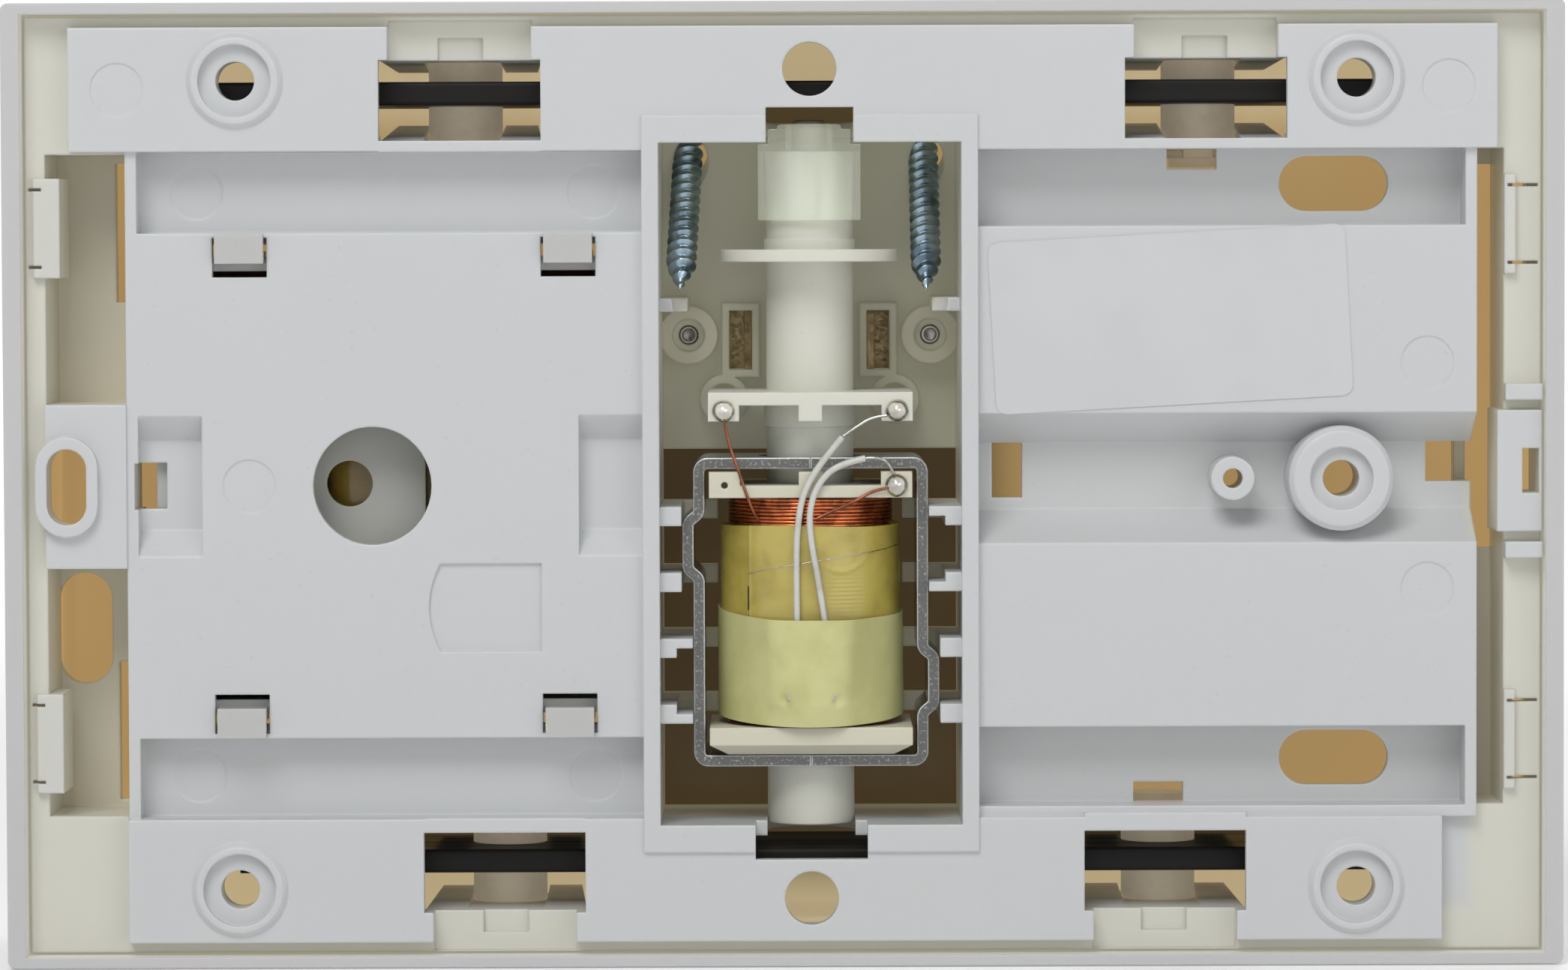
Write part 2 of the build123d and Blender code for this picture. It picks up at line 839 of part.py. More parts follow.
def cradles():
    """The ribs each side of a tone bar that hold its grommets, with notches open to the front."""
    adds, cuts = [], []
    for level, x in supports():
        away = out[level]
        inner, outer = window_z(level)
        half = window_width / 2
        adds += cradle_walls(x, inner, outer, away)
        for z0, z1 in ((inner, inner - away * cradle_wall), (outer, outer + away * cradle_wall)):
            low, high = sorted((z0, z1))
            cuts.append(
                slab(
                    x - grommet_neck_radius - grommet_fit,
                    x + grommet_neck_radius + grommet_fit,
                    post_depth,
                    cradle_depth + overrun,
                    low - grommet_fit,
                    high + grommet_fit,
                )
            )
            seat = grommet_neck_radius + grommet_fit
            cuts.append(upright(seat, low - grommet_fit, high + grommet_fit, x, post_depth))
        low, high = sorted((inner, outer))
        cuts.append(slab(x - half, x + half, -overrun, ledge_depth + wall, low, high))
        seat = grommet_radius + grommet_fit * 2
        cuts.append(slab(x - seat, x + seat, -overrun, cradle_depth + overrun, low, high))
        low, high = sorted((outer, outer + away * pocket_height))
        cuts.append(slab(x - pocket_width / 2, x + pocket_width / 2, -overrun, pocket_depth, low, high))
        low, high = sorted((outer, outer + away * pocket_notch_height))
        notch = pocket_notch_width / 2
        cuts.append(slab(x - notch, x + notch, -overrun, pocket_depth + thin_wall / 2, low, high))
    return adds, cuts


def pocket_floors():
    """The floors of the pockets beside the windows; past the band's edge they stay at the ledge."""
    floors = []
    for level, x in supports():
        away = out[level]
        outer = window_z(level)[1]
        half = pocket_width / 2 + thin_wall
        under = pocket_depth + thin_wall
        edge = away * (half_height - band_edge_inset)
        end = outer + away * pocket_height
        floors.append(slab(x - half, x + half, band_depth, under, min(outer, edge), max(outer, edge)))
        floors.append(slab(x - half, x + half, ledge_depth, under, min(edge, end), max(edge, end)))
    return floors


def round_boss(radius, x, z, d0, d1):
    """A round boss whose back edge slopes off."""
    body = bore(radius, x, z, d0, d1)
    return chamfer(body.edges().filter_by(GeomType.CIRCLE).sort_by(Axis.Y)[-1], boss_slope)


def bosses():
    """Corner bosses, band holes and the two wall-fixing places."""
    adds, cuts = [], []
    for side_x in (1, -1):
        for side_z in (1, -1):
            x = boss_offset_x + side_x * (half_width - boss_inset_x)
            z = side_z * (half_height - boss_inset_z)
            adds.append(round_boss(boss_radius, x, z, 0, boss_length - overrun))
            cuts.append(bore(boss_cup_radius, x, z, -overrun, boss_cup_depth))
            cuts.append(bore(boss_hole_radius, x, z, -overrun, boss_length + overrun))
    for z in (half_height - band_hole_inset, band_hole_inset - half_height):
        cuts.append(bore(band_hole_radius, works_x, z, -overrun, band_depth + wall + overrun))
    fixing_x = -(half_width - fixing_boss_inset - bell_edge_inset - bell_trench_width)
    adds.append(round_boss(fixing_boss_radius, fixing_x, fixing_boss_z, 0, valley_depth))
    cuts.append(bore(fixing_boss_cup, fixing_x, fixing_boss_z, -overrun, boss_cup_depth))
    cuts.append(bore(fixing_hole_radius, fixing_x, fixing_boss_z, -overrun, valley_depth + wall + overrun))
    pilot_x = bell_outer + pilot_boss_inset
    adds.append(bore(pilot_boss_radius, pilot_x, fixing_boss_z, panel_depth, valley_depth))
    cuts.append(bore(pilot_boss_bore, pilot_x, fixing_boss_z, -overrun, valley_depth + wall + overrun))
    tongue_x = half_width - fixing_slot_inset
    adds.append(
        slab(
            half_width - trench_edge_inset - mains_trench_width,
            half_width - trench_edge_inset,
            tongue_depth,
            ledge_depth + wall,
            -tongue_half_height,
            tongue_half_height,
        )
    )
    adds.append(lying_slot(tongue_boss_width, tongue_boss_height, tongue_x, 0, 0, ledge_depth + wall))
    cuts.append(lying_slot(fixing_slot_width, fixing_slot_height, tongue_x, 0, -overrun, skirt_depth))
    return adds, cuts


def trench_details():
    """Openings in the trench floors, and the spring fingers and latch that the cover snaps to."""
    adds, cuts = [], []
    trench_out = half_width - trench_edge_inset
    trench_in = trench_out - mains_trench_width
    deep = trench_depth + wall + overrun
    near = trench_depth - overrun
    vent_x = trench_in + mains_trench_width / 2 + vent_shift
    cuts.append(lying_slot(vent_width, vent_height, vent_x, -vent_z, near, deep))
    slit_top = trench_top - overrun
    slit_out, slit_low = trench_in + trench_slit_width, slit_top - trench_slit_height
    cuts.append(slab(trench_in, slit_out, near, deep, slit_low, slit_top))
    cuts.append(slab(trench_in, slit_out, near, deep, -slit_top, -slit_low))
    bell_out = -half_width + bell_edge_inset
    cuts.append(slab(bell_outer, bell_out, near, deep, latch_z - latch_opening_half, bell_strip_top - wall))
    for side, edge in ((1, trench_out), (-1, bell_out)):
        for z in (clip_z, -clip_z):
            reach = edge - clip_thickness if side > 0 else edge
            low, high = z - clip_height / 2, z + clip_height / 2
            adds.append(slab(reach, edge + side * thin_wall, ledge_depth - clip_rise, clip_reach, low, high))
            for end in (1, -1):
                slit_z = z + end * clip_slit_spacing / 2
                cuts.append(
                    slab(
                        edge + side * clip_slit,
                        side * (half_width - clip_slit),
                        -overrun,
                        ledge_depth + wall + overrun,
                        slit_z - clip_slit / 2,
                        slit_z + clip_slit / 2,
                    )
                )
    for z in (latch_z + latch_arm_z, latch_z - latch_arm_z):
        adds.append(
            slab(
                bell_out,
                -half_width,
                band_depth,
                ledge_depth + wall,
                z - latch_thickness / 2,
                z + latch_thickness / 2,
            )
        )
    adds.append(
        slab(
            bell_out + clip_thickness / 2,
            -half_width,
            panel_depth,
            clip_reach,
            latch_z - latch_tongue_half,
            latch_z + latch_tongue_half,
        )
    )
    cuts.append(
        slab(
            -half_width + clip_slit,
            -half_width + clip_slit + latch_window_width,
            -overrun,
            clip_reach + overrun,
            latch_z - latch_window_height / 2,
            latch_z + latch_window_height / 2,
        )
    )
    return adds, cuts


def yoke_face(side, z):
    """How far the yoke's outer face stands from the axis at a height, on one side."""
    step_z = left_step_z if side > 0 else right_step_z
    on_step = abs(z - step_z) < step_height / 2 + rib_thickness / 2
    return yoke_width / 2 + (yoke_step if on_step else 0)


def yoke_ribs():
    """Ribs on the box's side walls: their ends, stepped beside the strip's plain part, hold the yoke."""
    adds = []
    for side in (1, -1):
        side_wall = works_x + side * box_width / 2
        for index in range(rib_count):
            z = -rib_first_z - index * rib_pitch
            face = works_x + side * (yoke_face(side, z) + yoke_seat_gap)
            plain = yoke_face(side, z) > yoke_width / 2
            tip = face if plain else face + (side_wall - face) * rib_tip_share
            thin_low = z if index % 2 == 0 else z - rib_thickness / 2
            thin_high = thin_low + rib_thickness / 2
            foot = works_x + side * (yoke_width / 2 - yoke_ledge)
            foot_top = works_depth + yoke_breadth / 2 + yoke_seat_gap
            low, high = z - rib_thickness / 2, z + rib_thickness / 2
            adds.append(slab(tip, side_wall, rib_back_depth, rib_foot_depth, low, high))
            adds.append(slab(face, side_wall, rib_back_depth, rib_foot_depth, thin_low, thin_high))
            adds.append(slab(foot, side_wall, foot_top, rib_foot_depth, low, high))
    return adds


def terminal_places():
    """Bosses, frames and slots for the bell terminals in the box floor, and the screw pegs."""
    adds, cuts = [], []
    top = box_floor_depth - terminal_boss_height
    deep = box_floor_depth + wall + overrun
    for side in (1, -1):
        x = works_x + side * terminal_boss_x
        adds.append(bore(terminal_boss_radius, x, terminal_boss_z, top, box_floor_depth))
        cuts.append(bore(terminal_ring_radius, x, terminal_boss_z, top - overrun, top + thin_wall))
        cuts.append(bore(terminal_screw_radius + slip_fit, x, terminal_boss_z, top, deep))
        slot_x = works_x + side * terminal_slot_x
        half_w, half_h = terminal_slot_width / 2, terminal_slot_height / 2
        frame_top = box_floor_depth - terminal_frame_height
        edge = terminal_frame_wall
        adds.append(
            slab(
                slot_x - half_w - edge,
                slot_x + half_w + edge,
                frame_top,
                box_floor_depth,
                terminal_slot_z - half_h - edge,
                terminal_slot_z + half_h + edge,
            )
        )
        cuts.append(
            slab(
                slot_x - half_w,
                slot_x + half_w,
                frame_top - overrun,
                deep,
                terminal_slot_z - half_h,
                terminal_slot_z + half_h,
            )
        )
        ring_x = works_x + side * ring_boss_x
        adds.append(bore(ring_boss_radius, ring_x, ring_boss_z, frame_top, box_floor_depth))
        cuts.append(bore(ring_boss_bore, ring_x, ring_boss_z, frame_top - overrun, box_floor_depth))
        side_wall = works_x + side * box_width / 2
        peg_top = wall_screw_tip_z - wall_screw_radius / 2
        adds.append(
            slab(
                side_wall,
                side_wall - side * peg_length,
                peg_depth,
                box_floor_depth,
                peg_top - peg_height,
                peg_top,
            )
        )
        cuts.append(wall_screw_place(side) * screw_bore())
    return adds, cuts


def wall_screw_place(side):
    """Where a stored wall screw lies: its point at the origin of this place, its head along +Z."""
    lean = math.radians(wall_screw_lean)
    head_depth = box_floor_depth + wall + wall_screw_fit / 2 + wall_screw_head_radius * math.cos(lean)
    tip_depth = head_depth - wall_screw_length * math.sin(lean)
    return Pos(works_x + side * wall_screw_x, -tip_depth, wall_screw_tip_z) * Rot(wall_screw_lean, 0, 0)


def screw_bore():
    """The hole that a stored wall screw passes, with room round its shank."""
    radius = wall_screw_radius + wall_screw_fit
    return Pos(0, 0, wall_screw_length / 2) * Cylinder(radius, wall_screw_length * 2)


def ejector_marks():
    """Shallow round marks left by the mould's ejector pins."""
    band_x = half_width - mark_end_inset
    band_z = half_height - band_edge_inset - band_height / 2
    strip_x = panel_inner + mark_margin + mark_radius
    far_x = panel_outer - mark_far_margin - mark_radius
    strip_z = (panel_half_height + mains_strip_top) / 2
    plateau_x = bell_outer + mark_plateau_inset
    spots = [
        (band_x, band_z, band_depth),
        (-band_x, band_z, band_depth),
        (far_x, strip_z, mains_recess_depth),
        (strip_x, strip_z, mains_recess_depth),
        (far_x, -strip_z, mains_recess_depth),
        (strip_x, -strip_z, mains_recess_depth),
        (panel_outer - mark_panel_inset, 0, panel_depth),
        (plateau_x, mark_upper_z, panel_depth),
        (plateau_x, mark_lower_z, panel_depth),
    ]
    return [bore(mark_radius, x, z, -overrun, depth + mark_sink) for x, z, depth in spots]


def chassis():
    """The white base moulding that carries everything."""
    body = chassis_plate()
    fields = chassis_fields()
    panel_adds, panel_cuts = mains_panel()
    bell_adds, bell_cuts = bell_side()
    box_adds, box_cuts, box_floor = works_box()
    cradle_adds, cradle_cuts = cradles()
    boss_adds, boss_cuts = bosses()
    trench_adds, trench_cuts = trench_details()
    place_adds, place_cuts = terminal_places()
    body += [outer for outer, space in fields] + panel_adds + bell_adds + box_adds
    body += cradle_adds + pocket_floors()
    body -= [space for outer, space in fields] + panel_cuts + bell_cuts + box_cuts + cradle_cuts
    body += boss_adds + trench_adds + box_floor + yoke_ribs() + place_adds
    body -= boss_cuts + trench_cuts + place_cuts + ejector_marks()
    keep("chassis", body)


# Tone bars and their grommets


def tone_bars():
    """Two steel bars, each held by rubber grommets at the points that stay still when it rings."""
    for level in ("upper", "lower"):
        length = bar_length[level]
        z = bar_z[level]
        low_d, high_d = bar_back_depth, bar_back_depth + bar_breadth
        bar = slab(
            bar_x - length / 2,
            bar_x + length / 2,
            low_d,
            high_d,
            z - bar_thickness / 2,
            z + bar_thickness / 2,
        )
        bar = fillet(bar.edges().filter_by(Axis.X), bar_edge_radius)
        for side in (1, -1):
            hole = upright(
                grommet_neck_radius + grommet_fit * 2,
                z - bar_thickness,
                z + bar_thickness,
                support_x(level, side),
                post_depth,
            )
            bar -= hole
        keep("tone_bar_" + level, bar)


def grommets():
    """Rubber posts: a neck through each rib with a flange outside, and a body each side of the bar."""
    for level in ("upper", "lower"):
        z, away = bar_z[level], out[level]
        inner, outer = window_z(level)
        past = away * (cradle_wall + grommet_fit)
        ends = sorted((inner - past, outer + past))
        low, high = sorted((inner + away * grommet_fit, outer - away * grommet_fit))
        bar_low = z - bar_thickness / 2
        bar_high = z + bar_thickness / 2
        posts = []
        for side in (1, -1):
            x = support_x(level, side)
            post = upright(grommet_neck_radius, ends[0], ends[1], x, post_depth)
            post += upright(grommet_radius, low, bar_low, x, post_depth)
            post += upright(grommet_radius, bar_high, high, x, post_depth)
            post += upright(grommet_flange_radius, ends[0] - grommet_flange, ends[0], x, post_depth)
            post += upright(grommet_flange_radius, ends[1], ends[1] + grommet_flange, x, post_depth)
            posts.append(post)
        keep("grommets_" + level, Compound(children=posts))


# Coil former and plunger


def coil_former():
    """The white former: plunger tube, disc flange, terminal flange and collars in one moulding."""
    body = upright(tube_radius, -tube_bottom, tube_top)
    body += upright(disc_radius, disc_z, disc_z + disc_thickness)
    body += upright(former_collar_radius, disc_z, disc_z + disc_thickness + disc_collar)
    half = terminal_flange_width / 2
    back = flange_back
    flange_low = terminal_z - terminal_flange_thickness
    front = works_depth + terminal_flange_reach
    body += slab(works_x - half, works_x + half, back, front, flange_low, terminal_z)
    block_low = flange_low - terminal_block_height
    for side in (1, -1):
        end = works_x + side * half
        inside = works_x + side * (half - terminal_block_width)
        body += slab(inside, end, back, back + terminal_block_breadth, block_low, terminal_z)
    tab = terminal_tab_width / 2
    body += slab(works_x - tab, works_x + tab, back, back + terminal_block_breadth, block_low, terminal_z)
    body += upright(former_collar_radius, flange_low - lower_collar, flange_low)
    body -= upright(tube_bore, -tube_bottom + tube_lip, tube_top + overrun)
    body -= upright(striker_radius + striker_fit, -tube_bottom - overrun, -tube_bottom + tube_lip + overrun)
    for side in (1, -1):
        body -= bore(pin_diameter / 2, *pin_spot("upper", side), 0, back + pin_reach * 2)
    keep("coil_former", body)


def clear_cap():
    """The clear stepped cap on the former's top end; the upper striker passes through it."""
    skirt_top = tube_top + cap_wall
    neck_top = skirt_top + cap_neck_height + cap_wall
    body = upright(cap_radius, skirt_top - cap_skirt, skirt_top)
    body += upright(cap_neck_radius, skirt_top, neck_top)
    tip = upright(cap_tip_radius, neck_top, cap_top - slip_fit)
    body += fillet(tip.edges().filter_by(GeomType.CIRCLE).group_by(Axis.Z)[-1], cap_wall / 2)
    body -= upright(tube_radius + slip_fit, skirt_top - cap_skirt - overrun, tube_top)
    body -= upright(striker_radius + striker_fit, tube_top - overrun, cap_top + overrun)
    keep("clear_cap", body)


def plunger():
    """The steel core, a nylon striker at each end, and the spring under it."""
    core_low = plunger_top - plunger_length
    socket = striker_radius + slip_fit
    core = upright(plunger_radius, core_low, plunger_top)
    core = chamfer(core.edges(), plunger_chamfer)
    core -= upright(socket, plunger_top - plunger_tail, plunger_top + overrun)
    core -= upright(socket, core_low - overrun, core_low + plunger_tail)
    keep("plunger_core", core)
    top = bar_z["upper"] - bar_thickness / 2 - striker_up
    upper = upright(striker_radius, plunger_top - plunger_tail, top)
    upper = fillet(upper.edges().group_by(Axis.Z)[-1], striker_nose)
    keep("striker_upper", upper)
    bottom = bar_z["lower"] + bar_thickness / 2 + striker_down
    lower = upright(striker_radius, bottom, core_low + plunger_tail)
    lower = fillet(lower.edges().group_by(Axis.Z)[0], striker_nose)
    keep("striker_lower", lower)
    spring_foot = -tube_bottom + tube_lip
    spring = tube(spring_radius + spring_wire, spring_radius - spring_wire, spring_foot, core_low)
    keep("return_spring", spring)


# Lower bobbin, coil, tapes and fuse


def bobbin():
    """The cream bobbin on the former: two flanges, blocks on the upper one, a tapered foot."""
    inner = tube_radius + bobbin_fit
    sleeve = inner + bobbin_wall
    half_x = bobbin_width / 2
    back = flange_back
    front = works_depth + bobbin_reach
    foot_top = -bobbin_bottom + bobbin_foot_flange
    top_low = -bobbin_top - bobbin_flange
    body = upright(sleeve, -bobbin_bottom, -bobbin_top)
    body += slab(works_x - half_x, works_x + half_x, back, front, top_low, -bobbin_top)
    foot = slab(works_x - half_x, works_x + half_x, back, front, -bobbin_bottom, foot_top)
    body += foot
    middle = Pos(works_x, -(back + front) / 2)
    under = Plane.XY.offset(-bobbin_bottom) * middle * Rectangle(bobbin_width, front - back)
    body += extrude(under, amount=-bobbin_foot_taper, taper=bobbin_foot_angle)
    block_top = -bobbin_top + bobbin_block_height
    block = terminal_block_width
    tab = terminal_tab_width / 2
    for x0, x1 in (
        (works_x + half_x - block, works_x + half_x),
        (works_x - tab, works_x + tab),
        (works_x - half_x, works_x - half_x + block),
    ):
        body += slab(x0, x1, back, back + terminal_block_breadth, top_low, block_top)
    body -= upright(inner, -bobbin_bottom - bobbin_foot_taper - overrun, block_top)
    for side in (1, -1):
        body -= bore(pin_diameter / 2, *pin_spot("lower", side), 0, back + pin_reach * 2)
    keep("lower_bobbin", body)


def coil_body():
    """The wound mass of wire between the bobbin's flanges, plain under its tapes."""
    low = -bobbin_bottom + bobbin_foot_flange + coil_seat_gap
    high = -bobbin_top - bobbin_flange - coil_seat_gap
    inside = tube_radius + bobbin_fit + bobbin_wall + coil_seat_gap
    under_tape = tube(inner_tape_radius - tape_gap, inside, low, -inner_tape_top)
    keep("coil_body", under_tape + tube(coil_radius, inside, -inner_tape_top, high))


def joint_of_arcs(start, start_way, end, end_way):
    """Where the two arcs that join two directed points meet."""
    chord = end - start
    both = start_way + end_way
    spread = 2 * (1 - start_way.dot(end_way))
    along = chord.dot(both)
    reach = (-along + math.sqrt(along * along + spread * chord.dot(chord))) / spread
    return (start + end + (start_way - end_way) * reach) * 0.5


def arc_through(start, way, end):
    """The arc from a point, in a direction, to another point."""
    chord = end - start
    straight = chord.normalized()
    side = way - straight * way.dot(straight)
    half_angle = math.acos(min(1, way.dot(straight)))
    sagitta = chord.length / 2 * math.tan(half_angle / 2)
    return ThreePointArc(start, start + chord * 0.5 + side.normalized() * sagitta, end)


def winding():
    """The wire's visible turns, one unbroken tube laid on the coil's body above the tape."""
    radius = coil_radius + coil_wire / 2 + coil_seat_gap
    first = -bobbin_top - bobbin_flange - coil_wire / 2 - coil_seat_gap
    quarter = math.pi / 2
    edges = []
    rise = -coil_pitch / (2 * math.pi)

    def place(step):
        angle = quarter * step
        x, y = works_x + radius * math.cos(angle), -works_depth + radius * math.sin(angle)
        at = Vector(x, y, first + rise * angle)
        way = Vector(-radius * math.sin(angle), radius * math.cos(angle), rise).normalized()
        return at, way

    for step in range(coil_quarters):
        start, start_way = place(step)
        end, end_way = place(step + 1)
        middle = joint_of_arcs(start, start_way, end, end_way)
        edges.append(arc_through(start, start_way, middle))
        back = arc_through(end, end_way * -1, middle)
        edges.append(ThreePointArc(middle, back @ 0.5, end))
    path = Wire([edge.edges()[0] for edge in edges])
    start, way = place(0)
    section = Plane(origin=start, z_dir=way) * Circle(coil_wire / 2)
    turns = sweep(section, path=path)
    print("winding: least gap to itself", round(coil_pitch - coil_wire, 3), "length", round(path.length, 1))
    print_volume("winding", turns, coil_wire, path.length)
    keep("coil_winding", turns)


def print_volume(name, shape, diameter, length):
    """Compare a tube's volume with its section times its length."""
    expected = math.pi * diameter**2 / 4 * length
    print(name, "volume", round(shape.volume, 4), "section times length", round(expected, 4))


def fuse_top():
    """The height of the thermal fuse's top end."""
    return -fuse_bottom + fuse_height


def fuse_depths():
    """The fuse's back and front depths, on the inner tape."""
    front = works_depth - inner_tape_radius - tape_thickness - tape_gap
    return front - fuse_thickness, front


def tapes_and_fuse():
    """The inner tape, the flat fuse that lies on it, and the outer tape over both."""
    low = -bobbin_bottom + inner_tape_foot
    radius = inner_tape_radius + tape_thickness
    keep("coil_tape_inner", tube(radius, inner_tape_radius, low, -inner_tape_top))
    back, front = fuse_depths()
    fuse = slab(works_x - fuse_width / 2, works_x + fuse_width / 2, back, front, -fuse_bottom, fuse_top())
    keep("thermal_fuse", fillet(fuse.edges().filter_by(Axis.Z), fuse_radius))
    outer_low = -bobbin_bottom + outer_tape_foot
    centre = (works_x, -works_depth)
    round_part = Pos(*centre) * Circle(radius + tape_gap)
    bump = Rectangle(fuse_width + 2 * tape_gap, fuse_thickness + 2 * tape_gap)
    bump = Pos(works_x, -(back + front) / 2) * bump
    inside = make_hull(round_part.edges() + bump.edges())
    outside = offset(inside, tape_thickness)
    ring = Plane.XY.offset(outer_low) * (outside - inside)
    keep("coil_tape_outer", extrude(ring, amount=outer_tape_height))


# Yoke


def yoke():
    """Two strips of plated steel bent to a C, each with one outward step, meeting round the tube."""
    for name, side in (("yoke_mains", 1), ("yoke_bell", -1)):
        step_z = left_step_z if side > 0 else right_step_z
        face = yoke_width / 2 - yoke_strip / 2
        stepped = face + yoke_step
        top, bottom = yoke_top - yoke_strip / 2, -yoke_bottom + yoke_strip / 2
        half_step = step_height / 2
        points = [
            (yoke_seam / 2, top),
            (face, top),
            (face, step_z + half_step + step_slope / 2),
            (stepped, step_z + half_step - step_slope / 2),
            (stepped, step_z - half_step + step_slope / 2),
            (face, step_z - half_step - step_slope / 2),
            (face, bottom),
            (yoke_seam / 2, bottom),
        ]
        points = [(works_x + side * x, z) for x, z in points]
        line = FilletPolyline(*points, radius=yoke_bend - yoke_strip / 2)
        section = trace(line, yoke_strip)
        flat = Plane(origin=(0, -works_depth, 0), x_dir=(1, 0, 0), z_dir=(0, -1, 0)) * section
        strip = extrude(flat, amount=yoke_breadth / 2, both=True)
        hole = tube_radius + bobbin_fit + bobbin_wall + yoke_hole_gap
        strip -= upright(hole, -yoke_bottom - overrun, yoke_top + overrun)
        keep(name, strip)


# Leads, pins and solder


def pin_spot(level, side):
    """The x and z of a terminal pin on the former or on the bobbin."""
    if level == "upper":
        z = terminal_z - terminal_flange_thickness - terminal_block_height * pin_height_share
        return works_x + side * (terminal_flange_width - terminal_block_width) / 2, z
    z = -bobbin_top + (bobbin_block_height - bobbin_flange) * pin_height_share
    return works_x + side * (bobbin_width - terminal_block_width) / 2, z


def pins_and_solder():
    """Three tinned pins with a bead of solder on each."""
    pins, beads = [], []
    for level, side in (("upper", 1), ("upper", -1), ("lower", -1)):
        x, z = pin_spot(level, side)
        face = flange_back
        pins.append(bore(pin_diameter / 2 - coil_seat_gap, x, z, face - pin_reach, face + pin_reach * 2))
        bead = Pos(x, -face, z) * Sphere(solder_radius)
        bead &= bore(solder_radius * 2, x, z, face - solder_height, face)
        bead -= bore(pin_diameter / 2 - coil_seat_gap, x, z, face - pin_reach, face + overrun)
        beads.append(bead)
    keep("terminal_pins", Compound(children=pins))
    keep("solder_beads", Compound(children=beads))


def held_lead(name, points, diameter):
    """A tube along a held lead's route: straight runs joined by arcs as large as the runs allow."""
    spots = [Vector(x, -depth, z) for x, depth, z in points]
    radii = []
    for before, here, after in zip(spots, spots[1:], spots[2:]):
        turn = (here - before).get_angle(after - here)
        shorter = min((here - before).length, (after - here).length)
        radii.append(lead_bend_share * shorter / math.tan(math.radians(turn) / 2))
    path = FilletPolyline(*spots, radius=radii)
    section = Plane(origin=spots[0], z_dir=spots[1] - spots[0]) * Circle(diameter / 2)
    lead = sweep(section, path=path)
    print(name, "radii", [round(radius, 1) for radius in radii])
    print_volume(name, lead, diameter, path.length)
    keep(name, lead)


def lead_depths(diameter):
    """The depths of a lead's centre line over each thing that it lies on."""
    back, front = fuse_depths()
    lifted = diameter / 2 + lead_gap
    return {
        "flange": flange_back - lifted,
        "tape": works_depth - inner_tape_radius - tape_thickness - lifted,
        "coil": works_depth - coil_radius - coil_wire - lifted,
        "bead": flange_back - solder_height / 2,
        "fuse": (back + front) / 2,
    }


def leads():
    """The fuse's two sleeved leads, their bare ends, and the coil's two copper ends."""
    for name, diameter, route in lead_routes:
        depths = lead_depths(diameter)
        held_lead(name, [(x, depths[under] + off, z) for x, under, off, z in route], diameter)


# Fasteners and terminals


def wall_screws():
    """Two countersunk wood screws, kept with their heads in front of the box floor."""
    screws = []
    for side in (1, -1):
        shank_end = wall_screw_length - wall_screw_head_height
        point = Pos(0, 0, wall_screw_point / 2) * Cone(
            wall_screw_tip_radius, wall_screw_radius, wall_screw_point
        )
        run = shank_end - wall_screw_point
        shank = Pos(0, 0, wall_screw_point + run / 2) * Cylinder(wall_screw_radius, run)
        head = Pos(0, 0, shank_end + wall_screw_head_height / 2) * Cone(
            wall_screw_radius, wall_screw_head_radius, wall_screw_head_height
        )
        screws.append(wall_screw_place(side) * (point + shank + head))
    keep("wall_screws", Compound(children=screws))


def bell_terminals():
    """Clamp plates and their screws in front of the box floor, with tails in the slots."""
    screws, clamps = [], []
    floor_front = box_floor_depth + wall
    top = box_floor_depth - terminal_boss_height + thin_wall + overrun / 2
    for side in (1, -1):
        x = works_x + side * terminal_boss_x
        slot_x = works_x + side * terminal_slot_x
        plate_front = floor_front + thin_wall
        screw = bore(terminal_screw_radius, x, terminal_boss_z, top, plate_front)
        head_front = plate_front + terminal_head_height
        screw += bore(terminal_screw_head, x, terminal_boss_z, plate_front, head_front)
        screws.append(screw)
        far = x + side * terminal_screw_head
        near = slot_x - side * (terminal_slot_width / 2 - slip_fit)
        half = terminal_slot_height / 2 - slip_fit
        clamp = slab(near, far, floor_front, plate_front, terminal_slot_z - half, terminal_slot_z + half)
        tail = near + side * overrun
        clamp += slab(
            near,
            tail,
            floor_front - terminal_tail,
            plate_front,
            terminal_slot_z - half,
            terminal_slot_z + half,
        )
        clamp -= bore(terminal_screw_radius + slip_fit, x, terminal_boss_z, 0, plate_front + overrun)
        clamps.append(clamp)
    keep("terminal_screws", Compound(children=screws))
    keep("terminal_clamps", Compound(children=clamps))


def rating_label():
    """The blank printed-label place on the upper plateau, laid on slightly turned."""
    x = bell_inner - label_inset - label_width / 2
    z = (plateau_top + valley_top) / 2
    face = RectangleRounded(label_width, label_height, label_radius)
    seat = Plane(origin=(x, -panel_depth, z), x_dir=(-1, 0, 0), z_dir=(0, 1, 0))
    flat = seat * Rot(0, 0, label_turn) * face
    keep("rating_label", extrude(flat, amount=label_thickness))


# Mains module


